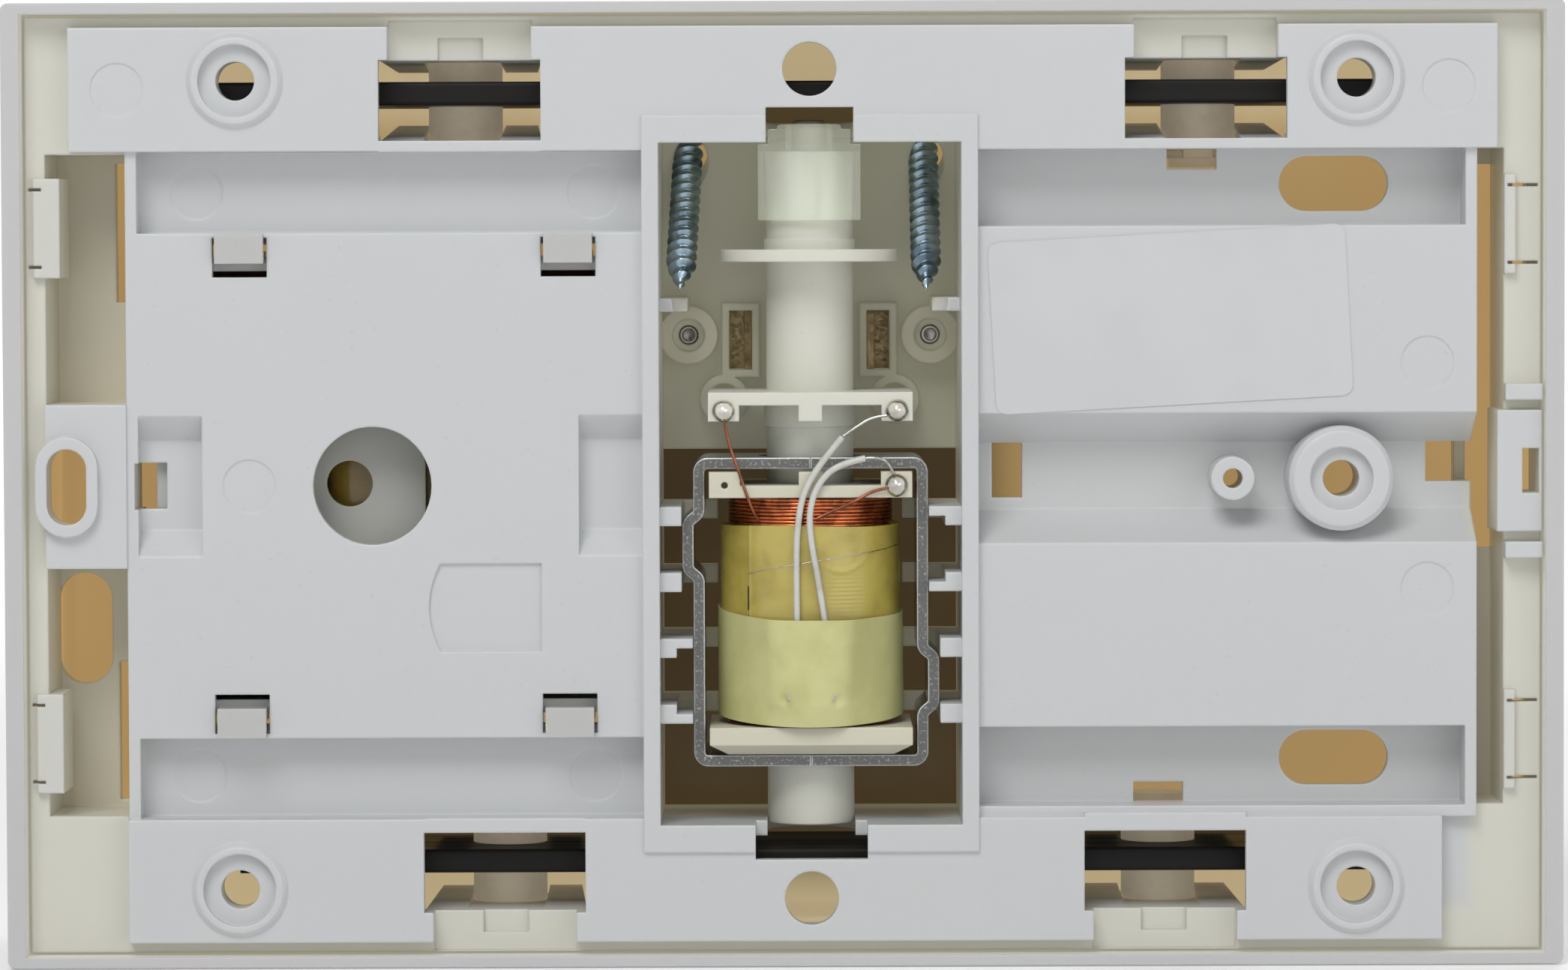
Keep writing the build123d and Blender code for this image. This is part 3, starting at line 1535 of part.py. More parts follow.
def mains_module():
    """The housing clipped to the panel's front by four hooks, and what is inside it."""
    panel_front = panel_depth + wall
    top = panel_half_height - clip_window_edge - clip_window_height + module_hook_thickness + overrun
    x0 = panel_inner + module_margin + thin_wall
    x1 = panel_outer - module_margin
    start = panel_front
    shell = slab(x0, x1, start, module_front_depth, -top, top)
    edge = module_wall
    shell -= slab(x0 + edge, x1 - edge, 0, module_front_depth - edge, -top + edge, top - edge)
    hook_back = panel_depth - module_hook - module_fit
    for x, z in module_windows():
        side = 1 if z > 0 else -1
        outer_z = z + side * (module_hook_thickness / 2)
        inner_z = z - side * (module_hook_thickness / 2)
        root = side * (top - edge)
        half = module_hook_width / 2
        shell += slab(x - half, x + half, hook_back, start + edge, inner_z, outer_z)
        shell += slab(x - half, x + half, start, start + edge, inner_z, root)
        catch = z + side * (clip_window_height / 2 + module_catch)
        shell += slab(x - half, x + half, hook_back, panel_depth - module_fit, inner_z, catch)
    pocket_floor = side_pocket_depth + thin_wall + module_fit
    pocket_half = side_pocket_half_height + wall + module_fit
    shell -= slab(x0 - overrun, x1 + overrun, 0, pocket_floor, -pocket_half, pocket_half)
    block_x = x1 - edge - side_pocket_width - module_fit - block_width
    core_x0 = x0 + edge + core_inset
    core_width = (block_x - core_block_gap - core_x0) * limbs_wide / (limbs_wide - 1)
    limb = core_width / limbs_wide
    core_height = limb * limbs_high
    core_x = core_x0 + core_width / 2
    rib_front = module_front_depth - edge
    core_front = rib_front - core_stand_off
    for side in (1, -1):
        rib_x = core_x + side * (core_width / 2 - module_rib)
        rib_top, half = core_height / 2, module_rib / 2
        shell += slab(rib_x - half, rib_x + half, core_front, rib_front, -rib_top, rib_top)
    keep("mains_housing", shell)
    transformer(core_x, core_front, limb)
    cable_guide(panel_front)
    mains_block(panel_front, block_x, 2 * (top - edge - block_end_gap))


def transformer(core_x, core_front, core_limb):
    """A small transformer of E and I laminations: core, bobbin and the wound mass round its leg."""
    core_back = core_back_depth
    core_leg = 2 * core_limb
    half_w, half_h = limbs_wide * core_limb / 2, limbs_high * core_limb / 2
    core = slab(core_x - half_w, core_x + half_w, core_back, core_front, -half_h, half_h)
    hole_w = half_w - core_leg / 2 - core_limb
    for side in (1, -1):
        near = core_x + side * core_leg / 2
        core -= slab(
            near,
            near + side * hole_w,
            core_back - overrun,
            core_front + overrun,
            -half_h + core_limb,
            half_h - core_limb,
        )
    keep("transformer_core", core)
    gap = core_gap
    leg = core_leg / 2 + gap
    tall = half_h - core_limb - gap
    out_w = leg + former_wall
    deep0, deep1 = core_back - gap - former_wall, core_front + gap + former_wall
    sleeve = slab(core_x - out_w, core_x + out_w, deep0, deep1, -tall, tall)
    reach = core_leg / 2 + hole_w - gap
    rise = winding_build - former_wall
    for side in (1, -1):
        low, high = sorted((side * tall, side * (tall - former_flange)))
        for depth0, depth1 in ((deep0 - rise, deep0), (deep1, deep1 + rise)):
            sleeve += slab(core_x - out_w, core_x + out_w, depth0, depth1, low, high)
        sleeve += slab(core_x - reach, core_x + reach, core_back, core_front, low, high)
    beyond = tall + overrun
    sleeve -= slab(core_x - leg, core_x + leg, core_back - gap, core_front + gap, -beyond, beyond)
    keep("transformer_bobbin", sleeve)
    wound_tall = tall - former_flange - winding_margin
    wound = slab(core_x - reach, core_x + reach, deep0 - rise, deep1 + rise, -wound_tall, wound_tall)
    hollow = gap / 2
    wound -= slab(
        core_x - out_w - hollow,
        core_x + out_w + hollow,
        deep0 - hollow,
        deep1 + hollow,
        -beyond,
        beyond,
    )
    keep("transformer_winding", wound)


def cable_guide(panel_front):
    """The small tray behind the cable hole that turns the flex towards the terminals."""
    cable_x = panel_outer - cable_hole_inset
    x0 = cable_x - guide_plate_reach
    x1 = cable_x + guide_hole_offset + guide_hole_radius + guide_rim
    half = guide_plate_half_height
    deep = guide_plate_depth + guide_plate_thickness
    guide = slab(x0, x1, guide_plate_depth, deep, -half, half)
    for side in (1, -1):
        low, high = sorted((side * half, side * (half - guide_plate_thickness)))
        guide += slab(x0, x1, panel_front, guide_plate_depth, low, high)
    guide -= bore(guide_hole_radius, cable_x + guide_hole_offset, 0, 0, deep + overrun)
    keep("cable_guide", guide)


def mains_block(panel_front, x0, block_height):
    """The mains terminal block behind the panel, with an insert and a screw for each pole."""
    x1 = x0 + block_width
    block_poles = max(1, round(block_height / block_pitch))
    front = panel_front + block_length
    block = slab(x0, x1, panel_front, front, -block_height / 2, block_height / 2)
    middle_x = (x0 + x1) / 2
    pitch = block_height / block_poles
    entry_d = panel_front + block_length / 2
    inserts, screws = [], []
    for index in range(block_poles):
        z = (index - (block_poles - 1) / 2) * pitch
        way = Pos(middle_x, -entry_d, z) * Rot(0, 90, 0)
        outer = block_entry_radius + block_insert_wall
        block -= way * Cylinder(outer + slip_fit, block_width * 2)
        screw_place = bore(block_screw_well + slip_fit, middle_x, z, entry_d, front + overrun)
        block -= screw_place
        insert = way * Cylinder(outer, block_width - overrun)
        insert -= way * Cylinder(block_entry_radius, block_width * 2)
        insert -= bore(block_screw_radius + slip_fit, middle_x, z, entry_d, front)
        inserts.append(insert)
        screw_end = front - block_screw_sink
        screws.append(bore(block_screw_radius, middle_x, z, screw_end - block_screw_length, screw_end))
    keep("mains_block", block)
    keep("mains_inserts", Compound(children=inserts))
    keep("mains_screws", Compound(children=screws))


def build():
    """Make every piece and write each one to its own file."""
    cover()
    chassis()
    tone_bars()
    grommets()
    coil_former()
    clear_cap()
    plunger()
    bobbin()
    coil_body()
    winding()
    tapes_and_fuse()
    yoke()
    pins_and_solder()
    leads()
    wall_screws()
    bell_terminals()
    rating_label()
    mains_module()
    os.makedirs("parts", exist_ok=True)
    for name, shape in parts.items():
        export_step(shape, "parts/" + name + ".step")


build()
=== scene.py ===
import logging
import math
from dataclasses import dataclass
from enum import Enum
from functools import lru_cache
from typing import Callable, Sequence

import bpy
from mathutils import Matrix, Vector, noise


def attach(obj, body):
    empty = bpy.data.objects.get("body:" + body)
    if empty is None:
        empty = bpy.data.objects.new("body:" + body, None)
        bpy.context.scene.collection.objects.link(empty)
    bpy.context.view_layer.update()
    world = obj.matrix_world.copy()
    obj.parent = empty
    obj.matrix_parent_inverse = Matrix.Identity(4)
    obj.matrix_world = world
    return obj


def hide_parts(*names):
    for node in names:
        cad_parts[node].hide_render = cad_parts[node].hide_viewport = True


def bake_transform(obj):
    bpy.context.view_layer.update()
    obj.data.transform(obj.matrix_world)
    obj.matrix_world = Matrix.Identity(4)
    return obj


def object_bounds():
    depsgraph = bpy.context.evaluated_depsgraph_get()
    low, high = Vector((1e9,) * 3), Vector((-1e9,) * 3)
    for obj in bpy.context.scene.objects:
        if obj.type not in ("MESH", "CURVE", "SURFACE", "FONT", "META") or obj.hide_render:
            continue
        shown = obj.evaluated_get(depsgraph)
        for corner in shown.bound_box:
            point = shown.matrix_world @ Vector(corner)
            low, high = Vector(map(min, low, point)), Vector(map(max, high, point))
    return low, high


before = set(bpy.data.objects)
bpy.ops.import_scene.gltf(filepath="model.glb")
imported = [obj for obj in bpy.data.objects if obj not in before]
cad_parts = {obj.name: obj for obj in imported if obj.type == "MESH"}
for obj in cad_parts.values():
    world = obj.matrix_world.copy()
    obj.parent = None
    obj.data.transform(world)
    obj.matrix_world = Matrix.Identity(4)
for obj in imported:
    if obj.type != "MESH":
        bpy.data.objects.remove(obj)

CAD_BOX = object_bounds()
LOG = logging.getLogger("chime")
MM = 0.001
WORKS_X = -3.5
WORKS_DEPTH = 14.0

Color = tuple[float, float, float, float]
Ends = tuple[float, float]
Place = tuple[float, float, float]
Piece = bpy.types.Object
Socket = bpy.types.NodeSocket

BLACK: Color = (0.0, 0.0, 0.0, 1.0)
WHITE: Color = (1.0, 1.0, 1.0, 1.0)


class Body(Enum):
    """The bodies that pieces ride on."""

    BASE = "base"
    PLUNGER = "plunger"


class Pick(Enum):
    """What an edit picks."""

    VERT = "VERT"
    EDGE = "EDGE"
    FACE = "FACE"


class Bead(Enum):
    """The shapes that the solder took, as the share of a tail that each draws out."""

    ROUND = 0.0
    FLAT = 0.25
    TEAR = 0.9


def screen(red: int, green: int, blue: int) -> Color:
    """Turns a colour as a screen shows it into a shader's linear colour.

    Args:
        red: Red, 0 to 255.
        green: Green, 0 to 255.
        blue: Blue, 0 to 255.

    Returns:
        The linear colour with full alpha.
    """

    def linear(value: int) -> float:
        """Takes one channel out of the screen's standard curve."""
        share = value / 255
        return share / 12.92 if share <= 0.04045 else ((share + 0.055) / 1.055) ** 2.4

    return linear(red), linear(green), linear(blue), 1.0


def at(x: float, depth: float, z: float) -> Vector:
    """Gives a place in metres from millimetres, with the depth in front of the wall."""
    return Vector((x, -depth, z)) * MM


def moved(x: float, depth: float, z: float) -> Matrix:
    """Gives the move to a place in millimetres."""
    return Matrix.Translation(at(x, depth, z))


def turned(degrees: float, axis: str) -> Matrix:
    """Gives a turn about an axis."""
    return Matrix.Rotation(math.radians(degrees), 4, axis)


def hump(*offsets: float) -> float:
    """Gives a smooth hump, 1 in its middle, from distances counted in its widths."""
    return math.exp(-sum(offset**2 for offset in offsets))


# Modelling


class Bench:
    """The modelling operators, run on one object at a time."""

    @staticmethod
    def done() -> None:
        """Leaves edit mode."""
        bpy.ops.object.mode_set(mode="OBJECT")

    @staticmethod
    def clear() -> None:
        """Leaves edit mode and deselects everything."""
        if bpy.context.mode != "OBJECT":
            Bench.done()
        bpy.ops.object.select_all(action="DESELECT")

    @staticmethod
    def hold(piece: Piece) -> None:
        """Makes one object the only selected and active one."""
        Bench.clear()
        piece.select_set(True)
        bpy.context.view_layer.objects.active = piece

    @staticmethod
    def edit(piece: Piece, what: Pick, action: str = "DESELECT") -> None:
        """Enters edit mode on one object with all or nothing of it selected.

        Args:
            piece: The object to edit.
            what: Vertices, edges or faces.
            action: SELECT for all, DESELECT for nothing.
        """
        Bench.hold(piece)
        bpy.ops.object.mode_set(mode="EDIT")
        bpy.ops.mesh.select_mode(type=what.value)
        bpy.ops.mesh.select_all(action=action)

    @staticmethod
    def settle() -> Piece:
        """Applies the place of the object that was just added, and returns it."""
        bpy.ops.object.transform_apply(location=True, rotation=True, scale=True)
        return bpy.context.object

    @staticmethod
    def cylinder(radius: float, low: float, high: float, sides: int) -> Piece:
        """Adds an upright cylinder on the Z axis, in millimetres.

        Args:
            radius: Its radius.
            low: The height of its foot.
            high: The height of its top.
            sides: The number of its sides.

        Returns:
            The new object, its place applied.
        """
        Bench.clear()
        middle = Vector((0, 0, (low + high) / 2)) * MM
        bpy.ops.mesh.primitive_cylinder_add(
            vertices=sides, radius=radius * MM, depth=(high - low) * MM, location=middle
        )
        return Bench.settle()

    @staticmethod
    def block(low: Place, high: Place) -> Piece:
        """Adds a block between two corners, in millimetres along X, Y and Z.

        Args:
            low: Its lower corner.
            high: Its upper corner.

        Returns:
            The new object, its place applied.
        """
        Bench.clear()
        ends = Vector(low) * MM, Vector(high) * MM
        bpy.ops.mesh.primitive_cube_add(size=1, location=(ends[0] + ends[1]) / 2, scale=ends[1] - ends[0])
        return Bench.settle()

    @staticmethod
    def pick(piece: Piece, what: Pick, test: Callable[[Vector, Vector], bool]) -> None:
        """Enters edit mode with the faces or edges that pass a test selected.

        Args:
            piece: The object to edit.
            what: Faces or edges.
            test: Takes the centre in millimetres and the normal, or an edge's direction.
        """
        Bench.edit(piece, what)
        Bench.done()
        mesh = piece.data
        if what is Pick.FACE:
            for face in mesh.polygons:
                face.select = test(face.center / MM, face.normal)
        else:
            for edge in mesh.edges:
                start, end = (mesh.vertices[index].co for index in edge.vertices)
                edge.select = test((start + end) / 2 / MM, (end - start).normalized())
        bpy.ops.object.mode_set(mode="EDIT")

    @staticmethod
    def pick_end(piece: Piece, side: int) -> None:
        """Enters edit mode with the top's faces selected, side 1, or the foot's, side -1."""
        Bench.pick(piece, Pick.FACE, lambda centre, normal: normal.z * side > 0.9)

    @staticmethod
    def pull(rise: float, size: float = 1.0) -> None:
        """Extrudes what is selected along Z by millimetres, and scales its new end."""
        bpy.ops.mesh.extrude_region_move(TRANSFORM_OT_translate={"value": (0, 0, rise * MM)})
        if size != 1.0:
            bpy.ops.transform.resize(value=(size, size, size))

    @staticmethod
    def inset(width: float, depth: float = 0.0) -> None:
        """Insets the selected faces, in millimetres."""
        bpy.ops.mesh.inset(thickness=width * MM, depth=depth * MM)

    @staticmethod
    def bevel(width: float, segments: int = 2) -> None:
        """Bevels the selected edges, in millimetres."""
        bpy.ops.mesh.bevel(offset=width * MM, segments=segments, affect="EDGES")

    @staticmethod
    def modify(piece: Piece, kind: str, **settings: object) -> None:
        """Adds a modifier and applies it.

        Args:
            piece: The object to modify.
            kind: The modifier's type.
            **settings: Its settings.
        """
        Bench.hold(piece)
        modifier = piece.modifiers.new(kind.lower(), kind)
        for name, value in settings.items():
            setattr(modifier, name, value)
        bpy.ops.object.modifier_apply(modifier=modifier.name)

    @staticmethod
    def combine(piece: Piece, operation: str, tool: Piece) -> None:
        """Joins a tool's shape to a piece or takes it out, and removes the tool."""
        Bench.modify(piece, "BOOLEAN", operation=operation, solver="EXACT", object=tool)
        bpy.data.objects.remove(tool)

    @staticmethod
    def outward(piece: Piece, merge: float = 0.0005) -> None:
        """Merges doubles within some millimetres and turns the faces outwards.

        Args:
            piece: The object to mend.
            merge: How near two vertices are merged.
        """
        Bench.edit(piece, Pick.VERT, "SELECT")
        bpy.ops.mesh.remove_doubles(threshold=merge * MM)
        bpy.ops.mesh.normals_make_consistent(inside=False)
        Bench.done()

    @staticmethod
    def shape(piece: Piece, move: Callable[[Vector], Vector]) -> None:
        """Moves each vertex to where a function puts it, in millimetres."""
        for vertex in piece.data.vertices:
            vertex.co = move(vertex.co / MM) * MM

    @staticmethod
    def put(piece: Piece, matrix: Matrix) -> Piece:
        """Moves a piece by a matrix, applies it and returns the piece."""
        Bench.hold(piece)
        piece.matrix_world = matrix
        return Bench.settle()

    @staticmethod
    def pair(first: Piece, matrices: dict[int, Matrix]) -> Piece:
        """Puts a copy of a piece on side 1 and the piece on side -1, and joins the two.

        Args:
            first: The piece, at the origin.
            matrices: The move to each side.

        Returns:
            The two as one object.
        """
        pieces = []
        for side, matrix in matrices.items():
            Bench.hold(first)
            if side > 0:
                bpy.ops.object.duplicate()
            pieces.append(Bench.put(bpy.context.object, matrix))
        return Bench.join(pieces)

    @staticmethod
    def join(pieces: Sequence[Piece]) -> Piece:
        """Joins several pieces into the first one and returns it."""
        Bench.hold(pieces[0])
        for piece in pieces[1:]:
            piece.select_set(True)
        bpy.ops.object.join()
        return bpy.context.object

    @staticmethod
    def wind(section: Piece, turns: float, rise: float, steps: int) -> Piece:
        """Winds a section about the Z axis and closes its ends.

        Args:
            section: The section's outline, where the winding starts.
            turns: How many turns there are.
            rise: How far it rises over them all, in millimetres.
            steps: Sections in one turn.

        Returns:
            The winding, its faces outwards.
        """
        count = round(steps * turns)
        angle = 2 * math.pi * turns
        settings = {"axis": "Z", "angle": angle, "screw_offset": rise * MM, "iterations": 1}
        Bench.modify(section, "SCREW", **settings, steps=count, render_steps=count)
        Bench.edit(section, Pick.EDGE)
        bpy.ops.mesh.select_non_manifold(extend=False)
        bpy.ops.mesh.fill_holes(sides=0)
        Bench.done()
        Bench.outward(section)
        return section

    @staticmethod
    def helix(
        radius: float, wire: float, low: float, turns: float, pitch: float, steps: int = 56, sides: int = 8
    ) -> Piece:
        """Winds a round wire about the Z axis.

        Args:
            radius: From the axis to the wire's middle, in millimetres.
            wire: The wire's radius.
            low: The height that the first turn starts from.
            turns: How many turns there are.
            pitch: From turn to turn.
            steps: Sections in one turn.
            sides: Sides of the wire's section.

        Returns:
            The closed coil, its faces outwards.
        """
        Bench.clear()
        start, upright = (radius * MM, 0, low * MM), (math.pi / 2, 0, 0)
        bpy.ops.mesh.primitive_circle_add(vertices=sides, radius=wire * MM, location=start, rotation=upright)
        return Bench.wind(Bench.settle(), turns, pitch * turns, steps)


# Shader nodes


class Graph:
    """Adds nodes to one node tree and joins them."""

    def __init__(self, tree: bpy.types.NodeTree) -> None:
        """Starts on a tree."""
        self.tree = tree

    def node(
        self, kind: str, inputs: dict[str | int, object] | None = None, **settings: object
    ) -> bpy.types.Node:
        """Adds a node, sets its options and feeds its inputs.

        Args:
            kind: The node's type.
            inputs: Values or output sockets for its inputs, by name or number.
            **settings: The node's own options.

        Returns:
            The new node.
        """
        node = self.tree.nodes.new(kind)
        for name, value in settings.items():
            setattr(node, name, value)
        for key, value in (inputs or {}).items():
            if isinstance(value, bpy.types.NodeSocket):
                self.tree.links.new(value, node.inputs[key])
            else:
                node.inputs[key].default_value = value
        return node

    def place(self) -> Socket:
        """Gives the place on the object that carries the surface."""
        return self.node("ShaderNodeTexCoord").outputs["Object"]

    def split(self, vector: Socket) -> tuple[Socket, Socket, Socket]:
        """Gives a vector's three parts."""
        parts = self.node("ShaderNodeSeparateXYZ", {0: vector}).outputs
        return parts[0], parts[1], parts[2]

    def math(self, operation: str, first: Socket | float, second: Socket | float = 0.0) -> Socket:
        """Works out a sum of one or two numbers."""
        return self.node("ShaderNodeMath", {0: first, 1: second}, operation=operation).outputs[0]

    def times(self, first: Socket, second: Socket | float) -> Socket:
        """Multiplies two numbers."""
        return self.math("MULTIPLY", first, second)

    def plus(self, first: Socket, second: Socket | float) -> Socket:
        """Adds two numbers."""
        return self.math("ADD", first, second)

    def less(self, first: Socket | float, second: Socket | float) -> Socket:
        """Takes the second number from the first."""
        return self.math("SUBTRACT", first, second)

    def most(self, first: Socket, second: Socket) -> Socket:
        """Gives the greater of two numbers."""
        return self.math("MAXIMUM", first, second)

    def off(self, value: Socket, middle: float = 0.0) -> Socket:
        """Gives how far a number lies from a middle."""
        return self.math("ABSOLUTE", self.less(value, middle))

    def between(
        self,
        value: Socket,
        low: Socket | float,
        high: Socket | float,
        to_low: float = 0.0,
        to_high: float = 1.0,
    ) -> Socket:
        """Maps a number smoothly from one range to another.

        Args:
            value: The number.
            low: Where it starts to change.
            high: Where it is done.
            to_low: The result at the start.
            to_high: The result when it is done.

        Returns:
            The mapped number.
        """
        inputs = {"Value": value, "From Min": low, "From Max": high, "To Min": to_low, "To Max": to_high}
        return self.node("ShaderNodeMapRange", inputs, interpolation_type="SMOOTHSTEP").outputs[0]

    def ramp(self, value: Socket, ends: Ends) -> Socket:
        """Rises smoothly from 0 at the first of two measures in millimetres to 1 at the second."""
        return self.between(value, ends[0] * MM, ends[1] * MM)

    def mix(self, share: Socket | float, first: Socket | Color, second: Socket | Color) -> Socket:
        """Mixes two colours."""
        return self.node("ShaderNodeMix", {0: share, 6: first, 7: second}, data_type="RGBA").outputs[2]

    def shade(self, color: Socket, value: Socket) -> Socket:
        """Makes a colour darker or lighter."""
        return self.node("ShaderNodeHueSaturation", {"Value": value, "Color": color}).outputs[0]

    def mottle(self, vector: Socket, scale: Socket | float, detail: float = 2.0) -> Socket:
        """Gives a soft noise."""
        inputs = {"Vector": vector, "Scale": scale, "Detail": detail}
        return self.node("ShaderNodeTexNoise", inputs).outputs[0]

    def stretch(self, vector: Socket, scale: Place) -> Socket:
        """Stretches a pattern along the axes."""
        return self.node("ShaderNodeMapping", {"Vector": vector, "Scale": scale}).outputs[0]

    def sway(self, value: Socket, reach: Socket | float) -> Socket:
        """Turns a noise into a number on both sides of zero."""
        return self.times(self.less(value, 0.5), reach)

    def bump(self, height: Socket, strength: float, distance: float, normal: Socket | None = None) -> Socket:
        """Turns a height into a normal.

        Args:
            height: The height, 0 to 1.
            strength: How much of it shows.
            distance: The travel that a height of 1 stands for, in millimetres.
            normal: A normal to start from.

        Returns:
            The new normal.
        """
        inputs: dict[str | int, object] = {"Height": height, "Strength": strength, "Distance": distance * MM}
        if normal is not None:
            inputs["Normal"] = normal
        return self.node("ShaderNodeBump", inputs).outputs[0]

    def group(self, tree: bpy.types.NodeTree, inputs: dict[str | int, object]) -> bpy.types.NodeOutputs:
        """Places a shared effect with this material's own values."""
        return self.node("ShaderNodeGroup", inputs, node_tree=tree).outputs

    def edge(self, radius: float) -> bpy.types.NodeOutputs:
        """Places the rounded edge with a radius in millimetres."""
        return self.group(edge_group(), {"Radius": radius * MM})

    def feed(self, out: bpy.types.NodeInputs, sockets: dict[str, Socket]) -> bpy.types.NodeTree:
        """Joins sockets to a group's outputs and returns the tree."""
        for name, socket in sockets.items():
            self.tree.links.new(socket, out[name])
        return self.tree


def open_group(
    name: str, colors: dict[str, Color], numbers: dict[str, float], outputs: dict[str, str]
) -> tuple[Graph, bpy.types.NodeOutputs, bpy.types.NodeInputs]:
    """Makes an empty shader node group with its sockets.

    Args:
        name: The group's name.
        colors: Its colour inputs with their defaults.
        numbers: Its number inputs with their defaults.
        outputs: Its outputs, each with the end of its socket type's name.

    Returns:
        The graph, the group's inputs to read from and its outputs to feed.
    """
    tree = bpy.data.node_groups.new(name, "ShaderNodeTree")
    for kind, defaults in (("Color", colors), ("Float", numbers)):
        for label, value in defaults.items():
            socket = tree.interface.new_socket(label, in_out="INPUT", socket_type="NodeSocket" + kind)
            socket.default_value = value
    for label, kind in outputs.items():
        tree.interface.new_socket(label, in_out="OUTPUT", socket_type="NodeSocket" + kind)
    graph = Graph(tree)
    return graph, graph.node("NodeGroupInput").outputs, graph.node("NodeGroupOutput").inputs


SKIN_OUTPUTS = {"Color": "Color", "Roughness": "Float", "Height": "Float"}


@lru_cache(maxsize=None)
def skin_group() -> bpy.types.NodeTree:
    """Builds the moulded skin: slow mottling, small specks, fine grain and a painted shade that grows with
    depth.
    """
    graph, given, out = open_group(
        "moulded_skin",
        {"Color": (0.6, 0.6, 0.6, 1), "Deep Color": (0.5, 0.48, 0.4, 1)},
        {"Roughness": 0.4, "Mottle": 0.04, "Shallow": 0.004, "Deep": 0.03, "Deep Share": 0.5},
        SKIN_OUTPUTS,
    )
    speck_shade, rough_sway, slow_height = 0.05, 0.22, 3.0
    place = graph.place()
    slow = graph.mottle(place, scale=24.0, detail=3.0)
    streak = graph.mottle(graph.stretch(place, (60.0, 60.0, 9.0)), scale=3.0)
    grain = graph.mottle(place, scale=1600.0, detail=1.0)
    speck = graph.between(graph.mottle(place, scale=1500.0, detail=0.0), low=0.80, high=0.86)
    # Painted shade: the colour turns towards Deep Color with depth in front of the wall, warmed as if by
    # light bounced in the hollows.
    depth = graph.times(graph.split(place)[1], -1.0)
    deep = graph.times(graph.between(depth, given["Shallow"], given["Deep"]), given["Deep Share"])
    value = graph.plus(graph.sway(slow, given["Mottle"]), 1.0)
    value = graph.less(value, graph.times(speck, speck_shade))
    color = graph.shade(graph.mix(deep, given["Color"], given["Deep Color"]), value)
    rough = graph.plus(graph.sway(streak, rough_sway), given["Roughness"])
    height = graph.plus(grain, graph.times(slow, slow_height))
    return graph.feed(out, {"Color": color, "Roughness": rough, "Height": height})


@lru_cache(maxsize=None)
def edge_group() -> bpy.types.NodeTree:
    """Builds the rounded edge: a normal that turns softly over edges, and a mask on them."""
    graph, given, out = open_group(
        "rounded_edge", {}, {"Radius": 0.0003}, {"Normal": "Vector", "Edge": "Float"}
    )
    soft = graph.node("ShaderNodeBevel", {"Radius": given["Radius"]}, samples=5).outputs[0]
    hard = graph.node("ShaderNodeNewGeometry").outputs["Normal"]
    along = graph.node("ShaderNodeVectorMath", {0: soft, 1: hard}, operation="DOT_PRODUCT").outputs["Value"]
    edge = graph.between(graph.less(1.0, along), low=0.01, high=0.2)
    return graph.feed(out, {"Normal": soft, "Edge": edge})


@lru_cache(maxsize=None)
def plate_group() -> bpy.types.NodeTree:
    """Builds the plated metal's skin: small crystals that catch the light, and soft stains."""
    graph, given, out = open_group(
        "plated_skin",
        {"Color": (0.5, 0.5, 0.5, 1), "Stain": (0.3, 0.3, 0.3, 1)},
        {"Roughness": 0.3, "Crystal": 2200.0, "Sparkle": 0.3},
        SKIN_OUTPUTS,
    )
    place = graph.place()
    inputs = {"Vector": place, "Scale": given["Crystal"]}
    cell = graph.node("ShaderNodeTexVoronoi", inputs, feature="F1").outputs["Color"]
    flash = graph.split(cell)[0]
    stain = graph.between(graph.mottle(place, scale=180.0, detail=4.0), low=0.42, high=0.68)
    spread = graph.sway(flash, given["Sparkle"])
    color = graph.shade(graph.mix(stain, given["Color"], given["Stain"]), graph.plus(spread, 1.0))
    rough = graph.plus(spread, given["Roughness"])
    return graph.feed(out, {"Color": color, "Roughness": rough, "Height": flash})


@lru_cache(maxsize=None)
def film_group() -> bpy.types.NodeTree:
    """Builds a stuck-down film: uneven colour, air under it, and fine level lines."""
    graph, given, out = open_group(
        "stuck_film",
        {"Color": (0.5, 0.5, 0.5, 1), "Thick Color": (0.4, 0.4, 0.3, 1)},
        {"Roughness": 0.25, "Air Size": 150.0},
        SKIN_OUTPUTS,
    )
    patch_rough, line_height = 0.15, 0.15
    place = graph.place()
    air = graph.mottle(place, given["Air Size"], detail=3.0)
    lines = graph.mottle(graph.stretch(place, (60.0, 60.0, 2600.0)), scale=1.0, detail=1.0)
    patch = graph.between(air, low=0.38, high=0.66)
    color = graph.mix(patch, given["Color"], given["Thick Color"])
    rough = graph.plus(graph.times(patch, patch_rough), given["Roughness"])
    height = graph.plus(air, graph.times(lines, line_height))
    return graph.feed(out, {"Color": color, "Roughness": rough, "Height": height})


# Finishes


@dataclass(frozen=True)
class Finish:
    """A finish: what one material puts on the sockets of its shader."""

    name: str

    def sockets(self, graph: Graph) -> dict[str, object]:
        """Builds the finish's nodes.

        Args:
            graph: The material's graph.

        Returns:
            A value or an output for each socket of the shader that it sets.
        """
        raise NotImplementedError

    def given(self, *fields: str) -> dict[str | int, object]:
        """Gives this finish's values for the sockets that are named after its fields."""
        return {field.replace("_", " ").title(): getattr(self, field) for field in fields}

    @staticmethod
    def paler(color: Color, factor: float, limit: float) -> Color:
        """Makes a colour paler, up to a limit."""
        return tuple(min(limit, part * factor) for part in color[:3]) + (1.0,)


